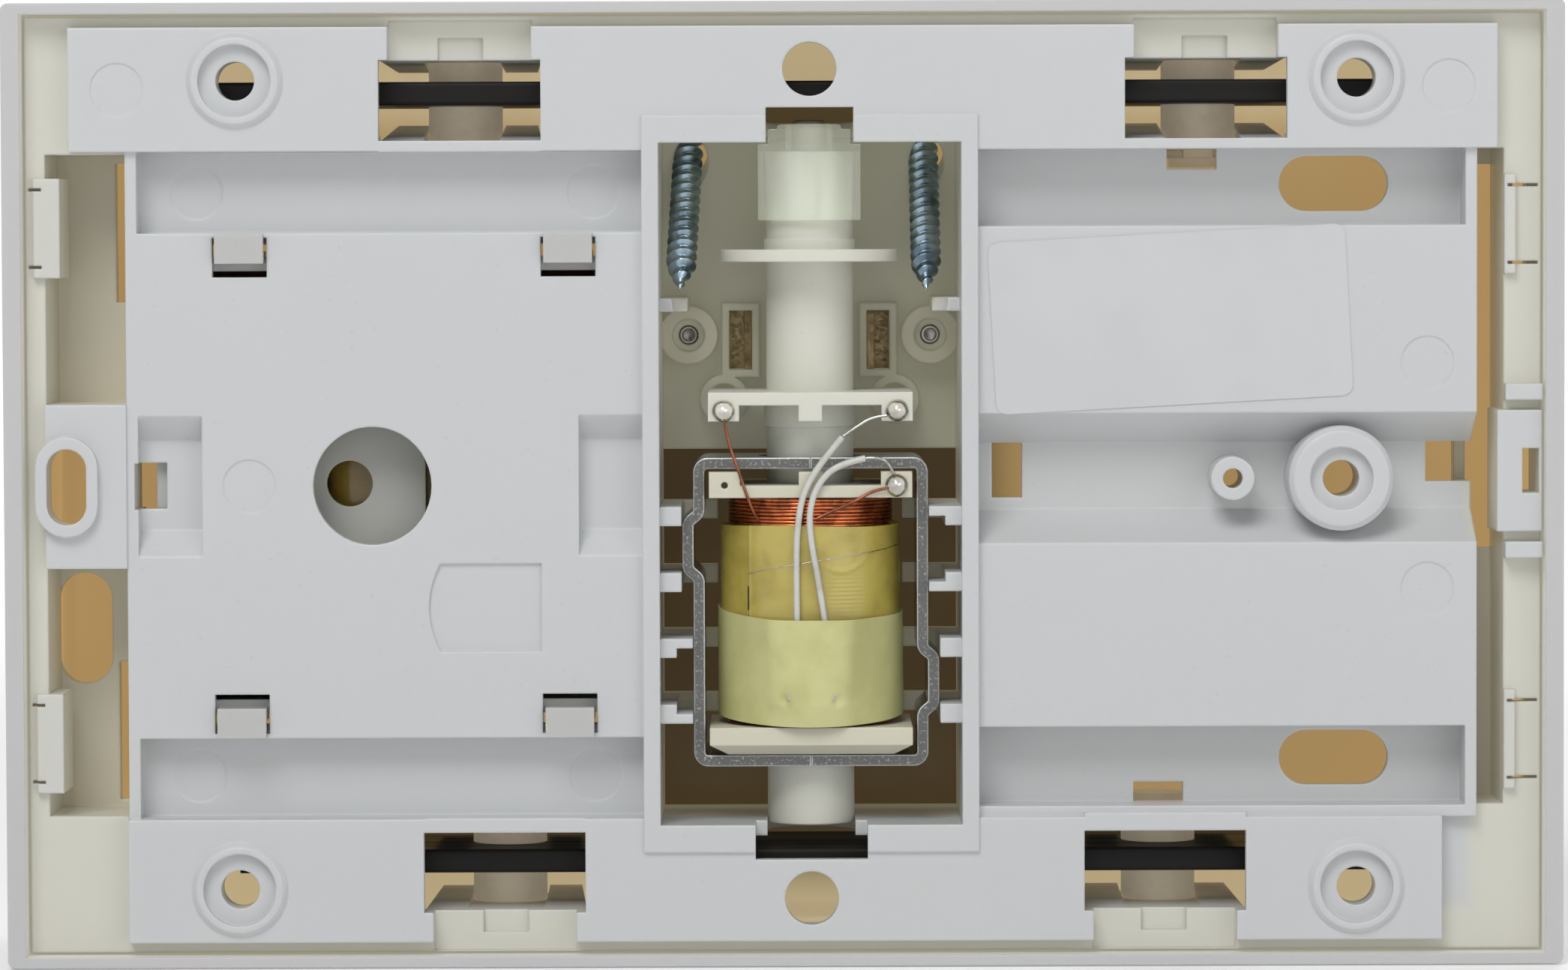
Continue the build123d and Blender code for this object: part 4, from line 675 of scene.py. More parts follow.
@dataclass(frozen=True)
class Moulding(Finish):
    """A moulded plastic with soft edges, a fine grain and light under its skin."""

    color: Color = screen(200, 203, 205)
    # deep_color is a painted shade that the skin takes on from shallow to deep, by deep_share.
    deep_color: Color = screen(192, 186, 166)
    roughness: float = 0.38
    mottle: float = 0.03
    shallow: float = 4.0
    deep: float = 26.0
    deep_share: float = 0.9
    edge: float = 0.3
    highlight_share: float = 0.7
    glow: float = 0.15
    scatter: Place = (0.0030, 0.0026, 0.0020)

    def sockets(self, graph: Graph) -> dict[str, object]:
        """Gives the skin its colour, its soft edges with a painted highlight along them, and the light under
        it.
        """
        inputs = self.given("color", "deep_color", "roughness", "mottle", "deep_share")
        inputs |= {"Shallow": self.shallow * MM, "Deep": self.deep * MM}
        skin = graph.group(skin_group(), inputs)
        edge = graph.edge(self.edge)
        # pale is a painted highlight along the edges.
        pale = self.paler(self.color, factor=1.4, limit=0.88)
        return {
            "Base Color": graph.mix(graph.times(edge["Edge"], self.highlight_share), skin["Color"], pale),
            "Roughness": skin["Roughness"],
            "Subsurface Weight": self.glow,
            "Subsurface Radius": self.scatter,
            "Subsurface Scale": 1.0,
            "IOR": 1.49,
            "Normal": graph.bump(skin["Height"], strength=0.25, distance=0.01, normal=edge["Normal"]),
        }


@dataclass(frozen=True)
class ChassisSkin(Moulding):
    """The chassis's white skin, painted with warm light and a glow at its rim and in its wells, and with
    painted shade and a glow on the works floor.
    """

    # Painted light and shade: the tints at the rim and in the wells are painted warm light, inner is the
    # colour of their painted glow, and floor is the painted shade and glow of the works floor.
    painted_rim_tint: Color = screen(206, 205, 195)
    painted_well_tint: Color = screen(204, 199, 182)
    inner: Color = screen(122, 119, 106)
    floor: Color = screen(172, 171, 152)
    light: float = 0.2
    middle_x: float = -2.5
    rim_x: Ends = (87.0, 89.0)
    rim_z: Ends = (54.5, 57.5)
    rim_depth: Ends = (1.6, 3.0)
    well_depth: Ends = (10.0, 15.0)
    floor_depth: Ends = (21.5, 27.4)

    def sockets(self, graph: Graph) -> dict[str, object]:
        """Adds painted warm light at the rim and in the wells, and painted shade with a painted glow on the
        works floor, to the skin.
        """
        sockets = super().sockets(graph)
        x, y, z = graph.split(graph.place())
        depth = graph.times(y, -1.0)
        far = graph.ramp(graph.off(x, self.middle_x * MM), self.rim_x)
        high = graph.ramp(graph.off(z), self.rim_z)
        rim = graph.times(graph.most(far, high), graph.ramp(depth, self.rim_depth))
        painted_well_tint = graph.ramp(depth, self.well_depth)
        floor = graph.ramp(depth, self.floor_depth)
        # Paints warm light at the rim and in the wells, and shade on the works floor.
        color = sockets["Base Color"]
        for mask, tint in ((rim, self.painted_rim_tint), (painted_well_tint, self.painted_well_tint), (floor, self.floor)):
            color = graph.mix(mask, color, tint)
        # lit is the colour of the painted glow at the rim, in the wells and on the works floor.
        lit = graph.mix(floor, self.inner, self.floor)
        sockets["Base Color"] = color
        sockets["Emission Color"] = graph.mix(graph.most(rim, painted_well_tint), BLACK, lit)
        sockets["Emission Strength"] = self.light
        return sockets


@dataclass(frozen=True)
class CoverShell(Moulding):
    """The cover's white skin outside, and its inside, painted with the warm glow of daylight through the
    wall.
    """

    # inside, inside_dark and holes paint the glow of daylight through the wall, shade is the painted shade
    # where the works box's openings look onto the inside, and rim colours a painted glow on the inner walls
    # by the rim.
    inside: Color = screen(188, 161, 112)
    inside_dark: Color = screen(176, 149, 102)
    holes: Color = screen(202, 192, 162)
    shade: Color = screen(52, 44, 30)
    rim: Color = screen(150, 147, 132)
    skin: float = 0.25
    inner_x: float = 101.0
    inner_z: float = 62.8
    inner_depth: float = 46.6
    mouth: Ends = (7.0, 24.0)
    holes_z: Ends = (44.0, 52.0)
    lower_z: float = -22.0
    lower_x_ends: Ends = (30.0, 20.0)
    lower_z_ends: Ends = (38.0, 28.0)
    notch_z: float = 47.0
    notch_x_ends: Ends = (12.0, 7.0)
    notch_z_ends: Ends = (6.0, 3.2)
    share: float = 0.7
    light: float = 0.56

    def sockets(self, graph: Graph) -> dict[str, object]:
        """Adds the inside's painted glow to the moulded skin, with painted shade where the works box's
        openings look onto it.
        """
        sockets = super().sockets(graph)
        x, y, z = graph.split(graph.place())
        depth = graph.times(y, -1.0)
        inner = graph.math("GREATER_THAN", depth, self.skin * MM)
        for part, limit in ((x, self.inner_x), (z, self.inner_z), (y, self.inner_depth)):
            inner = graph.times(inner, graph.math("LESS_THAN", graph.off(part), limit * MM))
        mask = graph.times(graph.ramp(depth, self.mouth), inner)
        # Painted shade where the works box's lower openings and top notch look onto the inside:
        side = graph.off(x, WORKS_X * MM)
        lower, notch = graph.off(z, self.lower_z * MM), graph.off(z, self.notch_z * MM)
        lower = graph.times(graph.ramp(side, self.lower_x_ends), graph.ramp(lower, self.lower_z_ends))
        notch = graph.times(graph.ramp(side, self.notch_x_ends), graph.ramp(notch, self.notch_z_ends))
        painted_shade = graph.most(lower, notch)
        # warm is the painted glow of daylight through the wall, paler where outer reaches the top and bottom
        # bands.
        warm = graph.mix(graph.mottle(graph.place(), scale=14.0), self.inside, self.inside_dark)
        outer = graph.ramp(graph.off(z), self.holes_z)
        warm = graph.mix(graph.times(outer, self.share), warm, self.holes)
        # dull darkens the inside with the painted shade.
        dull = graph.mix(graph.times(painted_shade, self.share), warm, self.shade)
        sockets["Base Color"] = graph.mix(mask, sockets["Base Color"], dull)
        # Painted glow: near the rim the inner walls glow in the rim colour, further in the inside glows in
        # its painted light, dimmed in the painted shade.
        dim = graph.mix(inner, BLACK, self.rim)
        sockets["Emission Color"] = graph.mix(mask, dim, graph.mix(painted_shade, warm, self.shade))
        sockets["Emission Strength"] = self.light
        return sockets


@dataclass(frozen=True)
class Plated(Finish):
    """A plated or bare metal with small crystals and stains."""

    color: Color = screen(190, 195, 205)
    stain: Color = screen(150, 155, 165)
    roughness: float = 0.32
    crystal: float = 2200.0
    sparkle: float = 0.3
    edge: float = 0.12
    highlight_share: float = 0.6

    def sockets(self, graph: Graph) -> dict[str, object]:
        """Gives the plate its colour, its grain and a painted highlight along its edges."""
        skin = graph.group(plate_group(), self.given("color", "stain", "roughness", "crystal", "sparkle"))
        edge = graph.edge(self.edge)
        # pale is a painted highlight along the edges.
        pale = self.paler(self.color, factor=1.5, limit=1.0)
        return {
            "Base Color": graph.mix(graph.times(edge["Edge"], self.highlight_share), skin["Color"], pale),
            "Metallic": 1.0,
            "Roughness": skin["Roughness"],
            "Normal": graph.bump(skin["Height"], strength=0.3, distance=0.01, normal=edge["Normal"]),
        }


@dataclass(frozen=True)
class CutStrip(Plated):
    """The yoke's strip: plated sides, and a torn grey cut face with a painted highlight along its borders."""

    cut: Color = screen(106, 106, 104)
    torn: Color = screen(172, 172, 170)
    edge_highlight: Color = screen(238, 242, 246)
    border_width: float = 0.3
    cut_depth: float = 5.15
    plate_rough: float = 0.22
    cut_rough: float = 0.3

    def sockets(self, graph: Graph) -> dict[str, object]:
        """Adds the cut face to the plate."""
        sockets = super().sockets(graph)
        place = graph.place()
        face = graph.math("GREATER_THAN", graph.split(place)[1], -self.cut_depth * MM)
        coarse = graph.mottle(place, scale=2600.0, detail=3.0)
        cut = graph.mix(graph.between(coarse, low=0.52, high=0.76), self.cut, self.torn)
        edge = graph.edge(self.border_width)
        # Paints a highlight along the cut face's borders.
        cut = graph.mix(graph.between(edge["Edge"], low=0.0, high=0.14), cut, self.edge_highlight)
        sockets["Base Color"] = graph.mix(face, sockets["Base Color"], cut)
        sockets["Roughness"] = graph.plus(graph.times(face, self.cut_rough), self.plate_rough)
        sockets["Normal"] = graph.bump(coarse, strength=0.5, distance=0.05, normal=edge["Normal"])
        return sockets


@dataclass(frozen=True)
class Enamelled(Finish):
    """Copper wire under clear enamel."""

    color: Color = screen(226, 128, 70)
    dark: Color = screen(136, 62, 30)
    smooth: float = 0.2
    rougher: float = 0.15

    def sockets(self, graph: Graph) -> dict[str, object]:
        """Gives the wire its uneven copper and its gloss."""
        place = graph.place()
        uneven = graph.between(graph.mottle(place, scale=420.0, detail=3.0), low=0.35, high=0.7)
        return {
            "Base Color": graph.mix(uneven, self.color, self.dark),
            "Metallic": 0.85,
            "Roughness": graph.plus(graph.times(uneven, self.rougher), self.smooth),
            "Coat Weight": 0.6,
            "Coat Roughness": 0.1,
            "Normal": graph.bump(graph.mottle(place, scale=1800.0, detail=1.0), strength=0.2, distance=0.01),
        }


@dataclass(frozen=True)
class Film(Finish):
    """A stuck-down tape or label film."""

    color: Color = screen(168, 152, 70)
    thick_color: Color = screen(140, 126, 54)
    roughness: float = 0.22
    air_size: float = 150.0
    air_height: float = 0.06
    coat: float = 0.3
    light: float = 0.05
    seam_x: float | None = None
    seam_color: Color = screen(106, 94, 40)
    seam_half: float = 0.03
    line_half: float = 0.12
    slit_color: Color = screen(30, 26, 14)
    slit_top: float = -13.7
    slit_low: float = -16.7
    slit_end: float = 0.2

    def seam(self, graph: Graph, color: Socket) -> Socket:
        """Draws the second layer past the seam, the seam's line and the slit in it.

        Args:
            graph: The material's graph.
            color: The film's colour.

        Returns:
            The colour with the seam on it.
        """
        layer_share, line_share, slit_share = 0.12, 0.45, 0.9
        x, _, z = graph.split(graph.place())
        second = graph.ramp(x, (self.seam_x - self.seam_half, self.seam_x + self.seam_half))
        line = graph.math("COMPARE", x, self.seam_x * MM)
        line.node.inputs[2].default_value = self.line_half * MM
        open_low = graph.ramp(z, (self.slit_low - self.slit_end, self.slit_low))
        open_top = graph.ramp(z, (self.slit_top + self.slit_end, self.slit_top))
        slit = graph.times(graph.times(open_low, open_top), line)
        color = graph.mix(graph.times(second, layer_share), color, self.thick_color)
        color = graph.mix(graph.times(line, line_share), color, self.seam_color)
        return graph.mix(graph.times(slit, slit_share), color, self.slit_color)

    def sockets(self, graph: Graph) -> dict[str, object]:
        """Gives the film its colour, its air and, where it has one, its seam."""
        film = graph.group(film_group(), self.given("color", "thick_color", "roughness", "air_size"))
        color = film["Color"] if self.seam_x is None else self.seam(graph, film["Color"])
        return {
            "Base Color": color,
            # A painted glow in the film's own colour, which evens out its shading.
            "Emission Color": color,
            "Emission Strength": self.light,
            "Roughness": film["Roughness"],
            "Coat Weight": self.coat,
            "Coat Roughness": 0.12,
            "IOR": 1.5,
            "Normal": graph.bump(film["Height"], strength=0.5, distance=self.air_height),
        }


@dataclass(frozen=True)
class Clear(Finish):
    """Clear soft plastic, with a painted glow that stands in for light caught in it."""

    color: Color = screen(240, 243, 240)
    flow: Color = screen(228, 232, 226)
    haze: Color = screen(200, 200, 182)
    rough: Ends = (0.09, 0.22)

    def sockets(self, graph: Graph) -> dict[str, object]:
        """Lets the light through, with fine flow lines on the skin."""
        lines = graph.mottle(graph.stretch(graph.place(), (500.0, 500.0, 60.0)), scale=1.0)
        return {
            "Base Color": graph.mix(graph.between(lines, low=0.4, high=0.8), self.color, self.flow),
            "Transmission Weight": 0.86,
            # A painted glow: the cap glows faintly, though it is no lamp.
            "Emission Color": self.haze,
            "Emission Strength": 0.12,
            "Roughness": graph.between(lines, 0.3, 0.7, *self.rough),
            "IOR": 1.25,
            "Normal": graph.bump(lines, strength=0.3, distance=0.02),
        }


@dataclass(frozen=True)
class Rubber(Finish):
    """Soft natural rubber, a little dusty and see-through at its edges."""

    color: Color = screen(196, 184, 162)
    dust: Color = screen(178, 164, 138)
    edge: float = 0.4
    smooth: float = 0.45
    rougher: float = 0.25
    scatter: Place = (0.004, 0.0028, 0.0016)

    def sockets(self, graph: Graph) -> dict[str, object]:
        """Gives the rubber its uneven, dull skin."""
        place = graph.place()
        uneven = graph.mottle(place, scale=260.0, detail=4.0)
        soft = graph.edge(self.edge)["Normal"]
        grain = graph.mottle(place, scale=900.0)
        return {
            "Base Color": graph.mix(graph.between(uneven, low=0.4, high=0.8), self.color, self.dust),
            "Roughness": graph.plus(graph.times(uneven, self.rougher), self.smooth),
            "Subsurface Weight": 0.3,
            "Subsurface Radius": self.scatter,
            "Subsurface Scale": 1.0,
            # A painted glow: the rubber glows in its own colour, though it is no lamp.
            "Emission Color": self.color,
            "Emission Strength": 0.26,
            "Normal": graph.bump(grain, strength=0.12, distance=0.02, normal=soft),
        }


@dataclass(frozen=True)
class Lacquer(Finish):
    """Black lacquer on rolled steel, with fine scratches and paler edges."""

    color: Color = screen(20, 18, 17)
    worn: Color = screen(52, 48, 44)
    edge: float = 0.3
    rough: Ends = (0.42, 0.6)

    def sockets(self, graph: Graph) -> dict[str, object]:
        """Gives the lacquer its scratches and worn edges."""
        place = graph.place()
        lines = graph.mottle(graph.stretch(place, (12.0, 900.0, 900.0)), scale=1.0, detail=3.0)
        edge = graph.edge(self.edge)
        rubbed = graph.between(graph.mottle(place, scale=300.0, detail=3.0), low=0.4, high=0.7)
        return {
            "Base Color": graph.mix(graph.times(edge["Edge"], rubbed), self.color, self.worn),
            "Roughness": graph.between(lines, 0.3, 0.7, *self.rough),
            "Specular IOR Level": 0.2,
            "Normal": graph.bump(lines, strength=0.15, distance=0.01, normal=edge["Normal"]),
        }


@dataclass(frozen=True)
class Laminations(Finish):
    """A stack of thin varnished steel sheets."""

    steel: Color = screen(92, 88, 84)
    varnished: Color = screen(70, 58, 48)
    joint: Color = screen(34, 30, 28)
    pitch: float = 0.5
    smooth: float = 0.35
    rougher: float = 0.2

    def sockets(self, graph: Graph) -> dict[str, object]:
        """Draws the sheets' edges along the depth."""
        place = graph.place()
        sheet = graph.math("FRACT", graph.math("DIVIDE", graph.split(place)[1], self.pitch * MM))
        gap = graph.off(sheet, 0.5)
        varnish = graph.between(graph.mottle(place, scale=120.0, detail=3.0), low=0.35, high=0.7)
        steel = graph.mix(varnish, self.steel, self.varnished)
        return {
            "Base Color": graph.mix(graph.between(gap, low=0.36, high=0.48), steel, self.joint),
            "Metallic": 0.6,
            "Roughness": graph.plus(graph.times(varnish, self.rougher), self.smooth),
            "Coat Weight": 0.3,
            "Coat Roughness": 0.25,
            "Normal": graph.bump(gap, strength=-0.5, distance=0.1),
        }


@dataclass(frozen=True)
class Sleeving(Finish):
    """Braided glass sleeving under a thin white varnish."""

    color: Color = screen(208, 208, 202)
    dirt: Color = screen(188, 186, 174)
    braid: float = 14000.0
    smooth: float = 0.4
    rougher: float = 0.2

    def sockets(self, graph: Graph) -> dict[str, object]:
        """Gives the sleeve its small braid."""
        place = graph.place()
        x, _, z = graph.split(place)
        rising = graph.math("SINE", graph.times(graph.plus(z, x), self.braid))
        falling = graph.math("SINE", graph.times(graph.less(z, x), self.braid))
        dirt = graph.between(graph.mottle(place, scale=300.0, detail=3.0), low=0.45, high=0.8)
        return {
            "Base Color": graph.mix(dirt, self.color, self.dirt),
            "Roughness": graph.plus(graph.times(dirt, self.rougher), self.smooth),
            "Coat Weight": 0.2,
            "Coat Roughness": 0.3,
            "Normal": graph.bump(graph.times(rising, falling), strength=0.25, distance=0.03),
        }


class Finishes:
    """The finishes of the chime's pieces."""

    CHASSIS = ChassisSkin("chassis_white", screen(203, 205, 206), deep_share=0.3, edge=0.5)
    HOUSING = Moulding("housing_white", screen(190, 190, 188), deep_share=0.5)
    COVER = CoverShell("cover_white", screen(196, 196, 197), deep_share=0.15)
    FORMER = Moulding("natural_nylon", screen(218, 218, 206), deep_share=0.2, roughness=0.42, glow=0.25)
    CREAM = Moulding("cream_moulding", screen(210, 207, 188), deep_share=0.2, roughness=0.45, glow=0.2)
    GUIDE = Moulding("grey_moulding", screen(182, 183, 177), deep_share=0.1, roughness=0.45)
    STRIKER = Moulding("striker_nylon", screen(212, 208, 192), deep_share=0.1, glow=0.25)
    BLOCK = Moulding("terminal_block_plastic", screen(196, 194, 182), deep_share=0.1)
    CERAMIC = Moulding("fuse_ceramic", screen(190, 188, 180), deep_share=0.0, glow=0.0, roughness=0.55)
    BARS = Lacquer("black_lacquer")
    GROMMET = Rubber("grommet_rubber")
    CLEAR = Clear("clear_cap_plastic")
    CORE = Plated("turned_steel", screen(150, 150, 152), screen(120, 120, 122), crystal=900.0)
    SPRING = Plated("spring_wire", screen(165, 166, 170), screen(120, 120, 124), sparkle=0.1)
    COPPER = Enamelled("enamelled_copper")
    COPPER_LEAD = Enamelled("copper_lead", screen(154, 86, 50), screen(104, 56, 32))
    AMBER = Film("amber_tape", screen(186, 170, 84), screen(160, 145, 66), seam_x=4.75)
    PALE = Film("pale_tape", screen(202, 200, 142), screen(190, 188, 128), roughness=0.4, coat=0.08)
    WRAP = Film("winding_wrap", screen(140, 116, 46), screen(118, 96, 34))
    LABEL = Film(
        "blank_label", screen(204, 206, 208), screen(200, 202, 204),
        roughness=0.3, air_size=60.0, air_height=0.12, coat=0.1, light=0.0,
    )
    YOKE = CutStrip("zinc_yoke", screen(176, 184, 196), screen(140, 146, 140))
    SCREW = Plated("blue_zinc", screen(164, 184, 198), screen(98, 118, 132), roughness=0.2, sparkle=0.12)
    BOLT = Plated("grey_zinc", screen(160, 159, 154), screen(112, 110, 104), roughness=0.32)
    TINNED = Plated("tinned_wire", screen(196, 196, 192), screen(160, 158, 150), roughness=0.25)
    SOLDER = Plated("bright_solder", screen(214, 210, 200), screen(150, 146, 136), roughness=0.1, sparkle=0.1)
    BRASS = Plated("plain_brass", screen(176, 146, 92), screen(140, 112, 66), roughness=0.36)
    CLAMP = Plated("dull_brass", screen(146, 130, 98), screen(110, 96, 68), roughness=0.5)
    STACK = Laminations("varnished_stack")
    SLEEVE = Sleeving("sleeving")


@lru_cache(maxsize=None)
def material_of(finish: Finish) -> bpy.types.Material:
    """Builds a finish's material once.

    Args:
        finish: The finish.

    Returns:
        Its material.
    """
    material = bpy.data.materials.new(finish.name)
    material.use_nodes = True
    material.node_tree.nodes.clear()
    graph = Graph(material.node_tree)
    sockets: dict[str | int, object] = dict(finish.sockets(graph))
    shader = graph.node("ShaderNodeBsdfPrincipled", sockets)
    graph.node("ShaderNodeOutputMaterial", {"Surface": shader.outputs[0]})
    return material


@dataclass(frozen=True)
class Label:
    """What a finished piece is called, made of, carried by and stands for."""

    name: str
    finish: Finish
    slot: str
    nodes: tuple[str, ...] = ()
    body: Body = Body.BASE
    angle: float = 40.0


def finish_piece(piece: Piece, label: Label, rides: bool = True) -> None:
    """Names, smooths, paints and mounts a piece, and reports it.

    Args:
        piece: The piece, with its place in its mesh.
        label: Its name, finish, slot, body and the nodes it stands for.
        rides: False where the piece lies between two bodies and rides on neither.
    """
    Bench.hold(piece)
    bpy.ops.object.transform_apply(location=True, rotation=True, scale=True)
    bpy.ops.object.shade_smooth_by_angle(angle=math.radians(label.angle))
    piece.name = label.name
    piece.data.name = label.name
    piece.data.materials.clear()
    piece.data.materials.append(material_of(label.finish))
    if rides:
        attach(piece, label.body.value)
    if label.nodes:
        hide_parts(*label.nodes)
    LOG.info("%s: %d faces, stands for %s", label.name, len(piece.data.polygons), label.nodes or "nothing")


# Sub-assemblies


@dataclass
class Fasteners:
    """The stored wall screws and the bell terminals' screws."""

    length: float = 31.0
    radius: float = 2.05
    root: float = 1.32
    pitch: float = 1.75
    point: float = 4.6
    thread_start: float = 0.5
    thread_end: float = 1.5
    ridge_half: float = 0.36
    ridge_crest: float = 0.05
    ridge_sunk: float = 0.1
    head_radius: float = 3.9
    head_height: float = 2.3
    head_rim: float = 0.25
    cross_reach: float = 2.3
    cross_depth: float = 1.7
    cross_share: float = 0.22
    lean: float = 44.0
    spin: float = 70.0
    shifts: Ends = (1.3, 0.45)
    sways: Ends = (-2.9, 0.0)
    spread: float = 16.0
    tip_z: float = 25.5
    tip_depth: float = 11.42
    terminal_spread: float = 16.35
    terminal_z: float = 19.3
    terminal_spin: float = 30.0
    terminal_radius: float = 1.3
    terminal_ridge: float = 0.15
    terminal_pitch: float = 0.5
    terminal_back: float = 26.0
    terminal_front: float = 31.5
    terminal_head: float = 2.9
    terminal_head_height: float = 2.2
    slot_half: float = 0.35
    slot_depth: float = 1.0

    def thread(
        self, root: float, crest: float, pitch: float, low: float, high: float, steps: int = 28
    ) -> Piece:
        """Winds a sharp ridge round the Z axis.

        Args:
            root: The shank's radius, in millimetres.
            crest: The ridge's outer radius.
            pitch: From turn to turn.
            low: Where the ridge starts.
            high: Where it ends.
            steps: Sections in one turn.

        Returns:
            The closed ridge.
        """
        Bench.clear()
        bpy.ops.mesh.primitive_circle_add(vertices=4, radius=MM)
        ridge = Bench.settle()
        half, top, foot = pitch * self.ridge_half, pitch * self.ridge_crest, root - self.ridge_sunk
        profile = ((foot, -half), (crest, -top), (crest, top), (foot, half))
        for vertex, (out, up) in zip(ridge.data.vertices, profile):
            vertex.co = Vector((out, 0, low + up)) * MM
        return Bench.wind(ridge, (high - low) / pitch, high - low, steps)

    def cross(self) -> Piece:
        """Makes the tool that cuts a cross recess in the head, tapering downwards."""
        taper, over = (0.35, 0.8, 1.0), 0.5
        half = self.cross_reach * self.cross_share
        foot, top = self.length - self.cross_depth, self.length + over
        arms = []
        for turn in (0, 90):
            arm = Bench.block((-self.cross_reach, -half, foot), (self.cross_reach, half, top))
            Bench.pick_end(arm, -1)
            bpy.ops.transform.resize(value=taper)
            Bench.done()
            arms.append(Bench.put(arm, turned(turn, "Z")))
        Bench.combine(arms[0], "UNION", arms[1])
        return arms[0]

    def wood_screw(self) -> Piece:
        """Models one wood screw on the Z axis, its point at the origin."""
        shoulder, shoulder_size, tip_size, tip_blunt = 0.55, 0.55, 0.12, 0.1
        neck = self.length - self.head_height
        shank = Bench.cylinder(self.root, self.point, neck, sides=28)
        Bench.pick_end(shank, -1)
        Bench.pull(-self.point * shoulder, shoulder_size)
        Bench.pull(-self.point * (1 - shoulder) + tip_blunt, tip_size)
        Bench.done()
        Bench.pick_end(shank, 1)
        Bench.pull(self.head_height - self.head_rim, self.head_radius / self.root)
        Bench.pull(self.head_rim)
        Bench.done()
        Bench.combine(shank, "DIFFERENCE", self.cross())
        ridge = self.thread(self.root, self.radius, self.pitch, self.thread_start, neck - self.thread_end)

        def taper(place: Vector, least: float = 0.1, curve: float = 0.8) -> Vector:
            """Draws the ridge in towards the gimlet point."""
            share = max(least, min(1.0, place.z / self.point)) ** curve
            return Vector((place.x * share, place.y * share, place.z))

        Bench.shape(ridge, taper)
        return Bench.join([shank, ridge])

    def build_wall_screws(self) -> None:
        """Lays the two wood screws in the works box, heads in front of its floor."""
        places = {}
        for side, shift, sway in zip((1, -1), self.shifts, self.sways):
            tip = moved(WORKS_X + side * self.spread + shift, self.tip_depth, self.tip_z)
            places[side] = tip @ turned(sway, "Y") @ turned(self.lean, "X") @ turned(side * self.spin, "Z")
        screws = Bench.pair(self.wood_screw(), places)
        finish_piece(screws, Label("wood_screws", Finishes.SCREW, "zinc_screw", ("wall_screws",), angle=35))

    def terminal_screw(self) -> Piece:
        """Models one clamp screw on the Z axis: its slotted head up, its end at the origin."""
        root = self.terminal_radius - self.terminal_ridge
        end_inset, end_length, end_size, dimple, dimple_depth = 0.28, 0.22, 0.86, 0.2, 0.12
        head_side, head_top, head_lip, ridge_start, ridge_end = 0.6, 0.82, 0.01, 0.3, 0.2
        run = self.terminal_front - self.terminal_back
        shank = Bench.cylinder(root, 0.0, run, sides=32)
        Bench.pick_end(shank, -1)
        Bench.inset(end_inset)
        Bench.pull(-end_length, end_size)
        Bench.inset(dimple, -dimple_depth)
        Bench.done()
        Bench.pick_end(shank, 1)
        Bench.pull(head_lip, self.terminal_head / root)
        Bench.pull(self.terminal_head_height * head_side)
        Bench.pull(self.terminal_head_height * (1 - head_side), head_top)
        Bench.done()
        top = run + self.terminal_head_height
        reach, high = self.terminal_head + 1, top + 1
        slot = Bench.block(
            (-reach, -self.slot_half, top - self.slot_depth), (reach, self.slot_half, high)
        )
        Bench.combine(shank, "DIFFERENCE", slot)
        crest, pitch = self.terminal_radius, self.terminal_pitch
        ridge = self.thread(root - head_lip, crest, pitch, ridge_start, run - ridge_end, steps=20)
        return Bench.join([shank, ridge])

    def build_terminal_screws(self) -> None:
        """Puts the clamp screws in their posts: heads in front, thread ends at the back."""
        places = {}
        for side in (1, -1):
            end = moved(WORKS_X + side * self.terminal_spread, self.terminal_back, self.terminal_z)
            places[side] = end @ turned(90, "X") @ turned(side * self.terminal_spin, "Z")
        screws = Bench.pair(self.terminal_screw(), places)
        label = Label("clamp_screws", Finishes.BOLT, "zinc_screw", ("terminal_screws",), angle=35)
        finish_piece(screws, label)


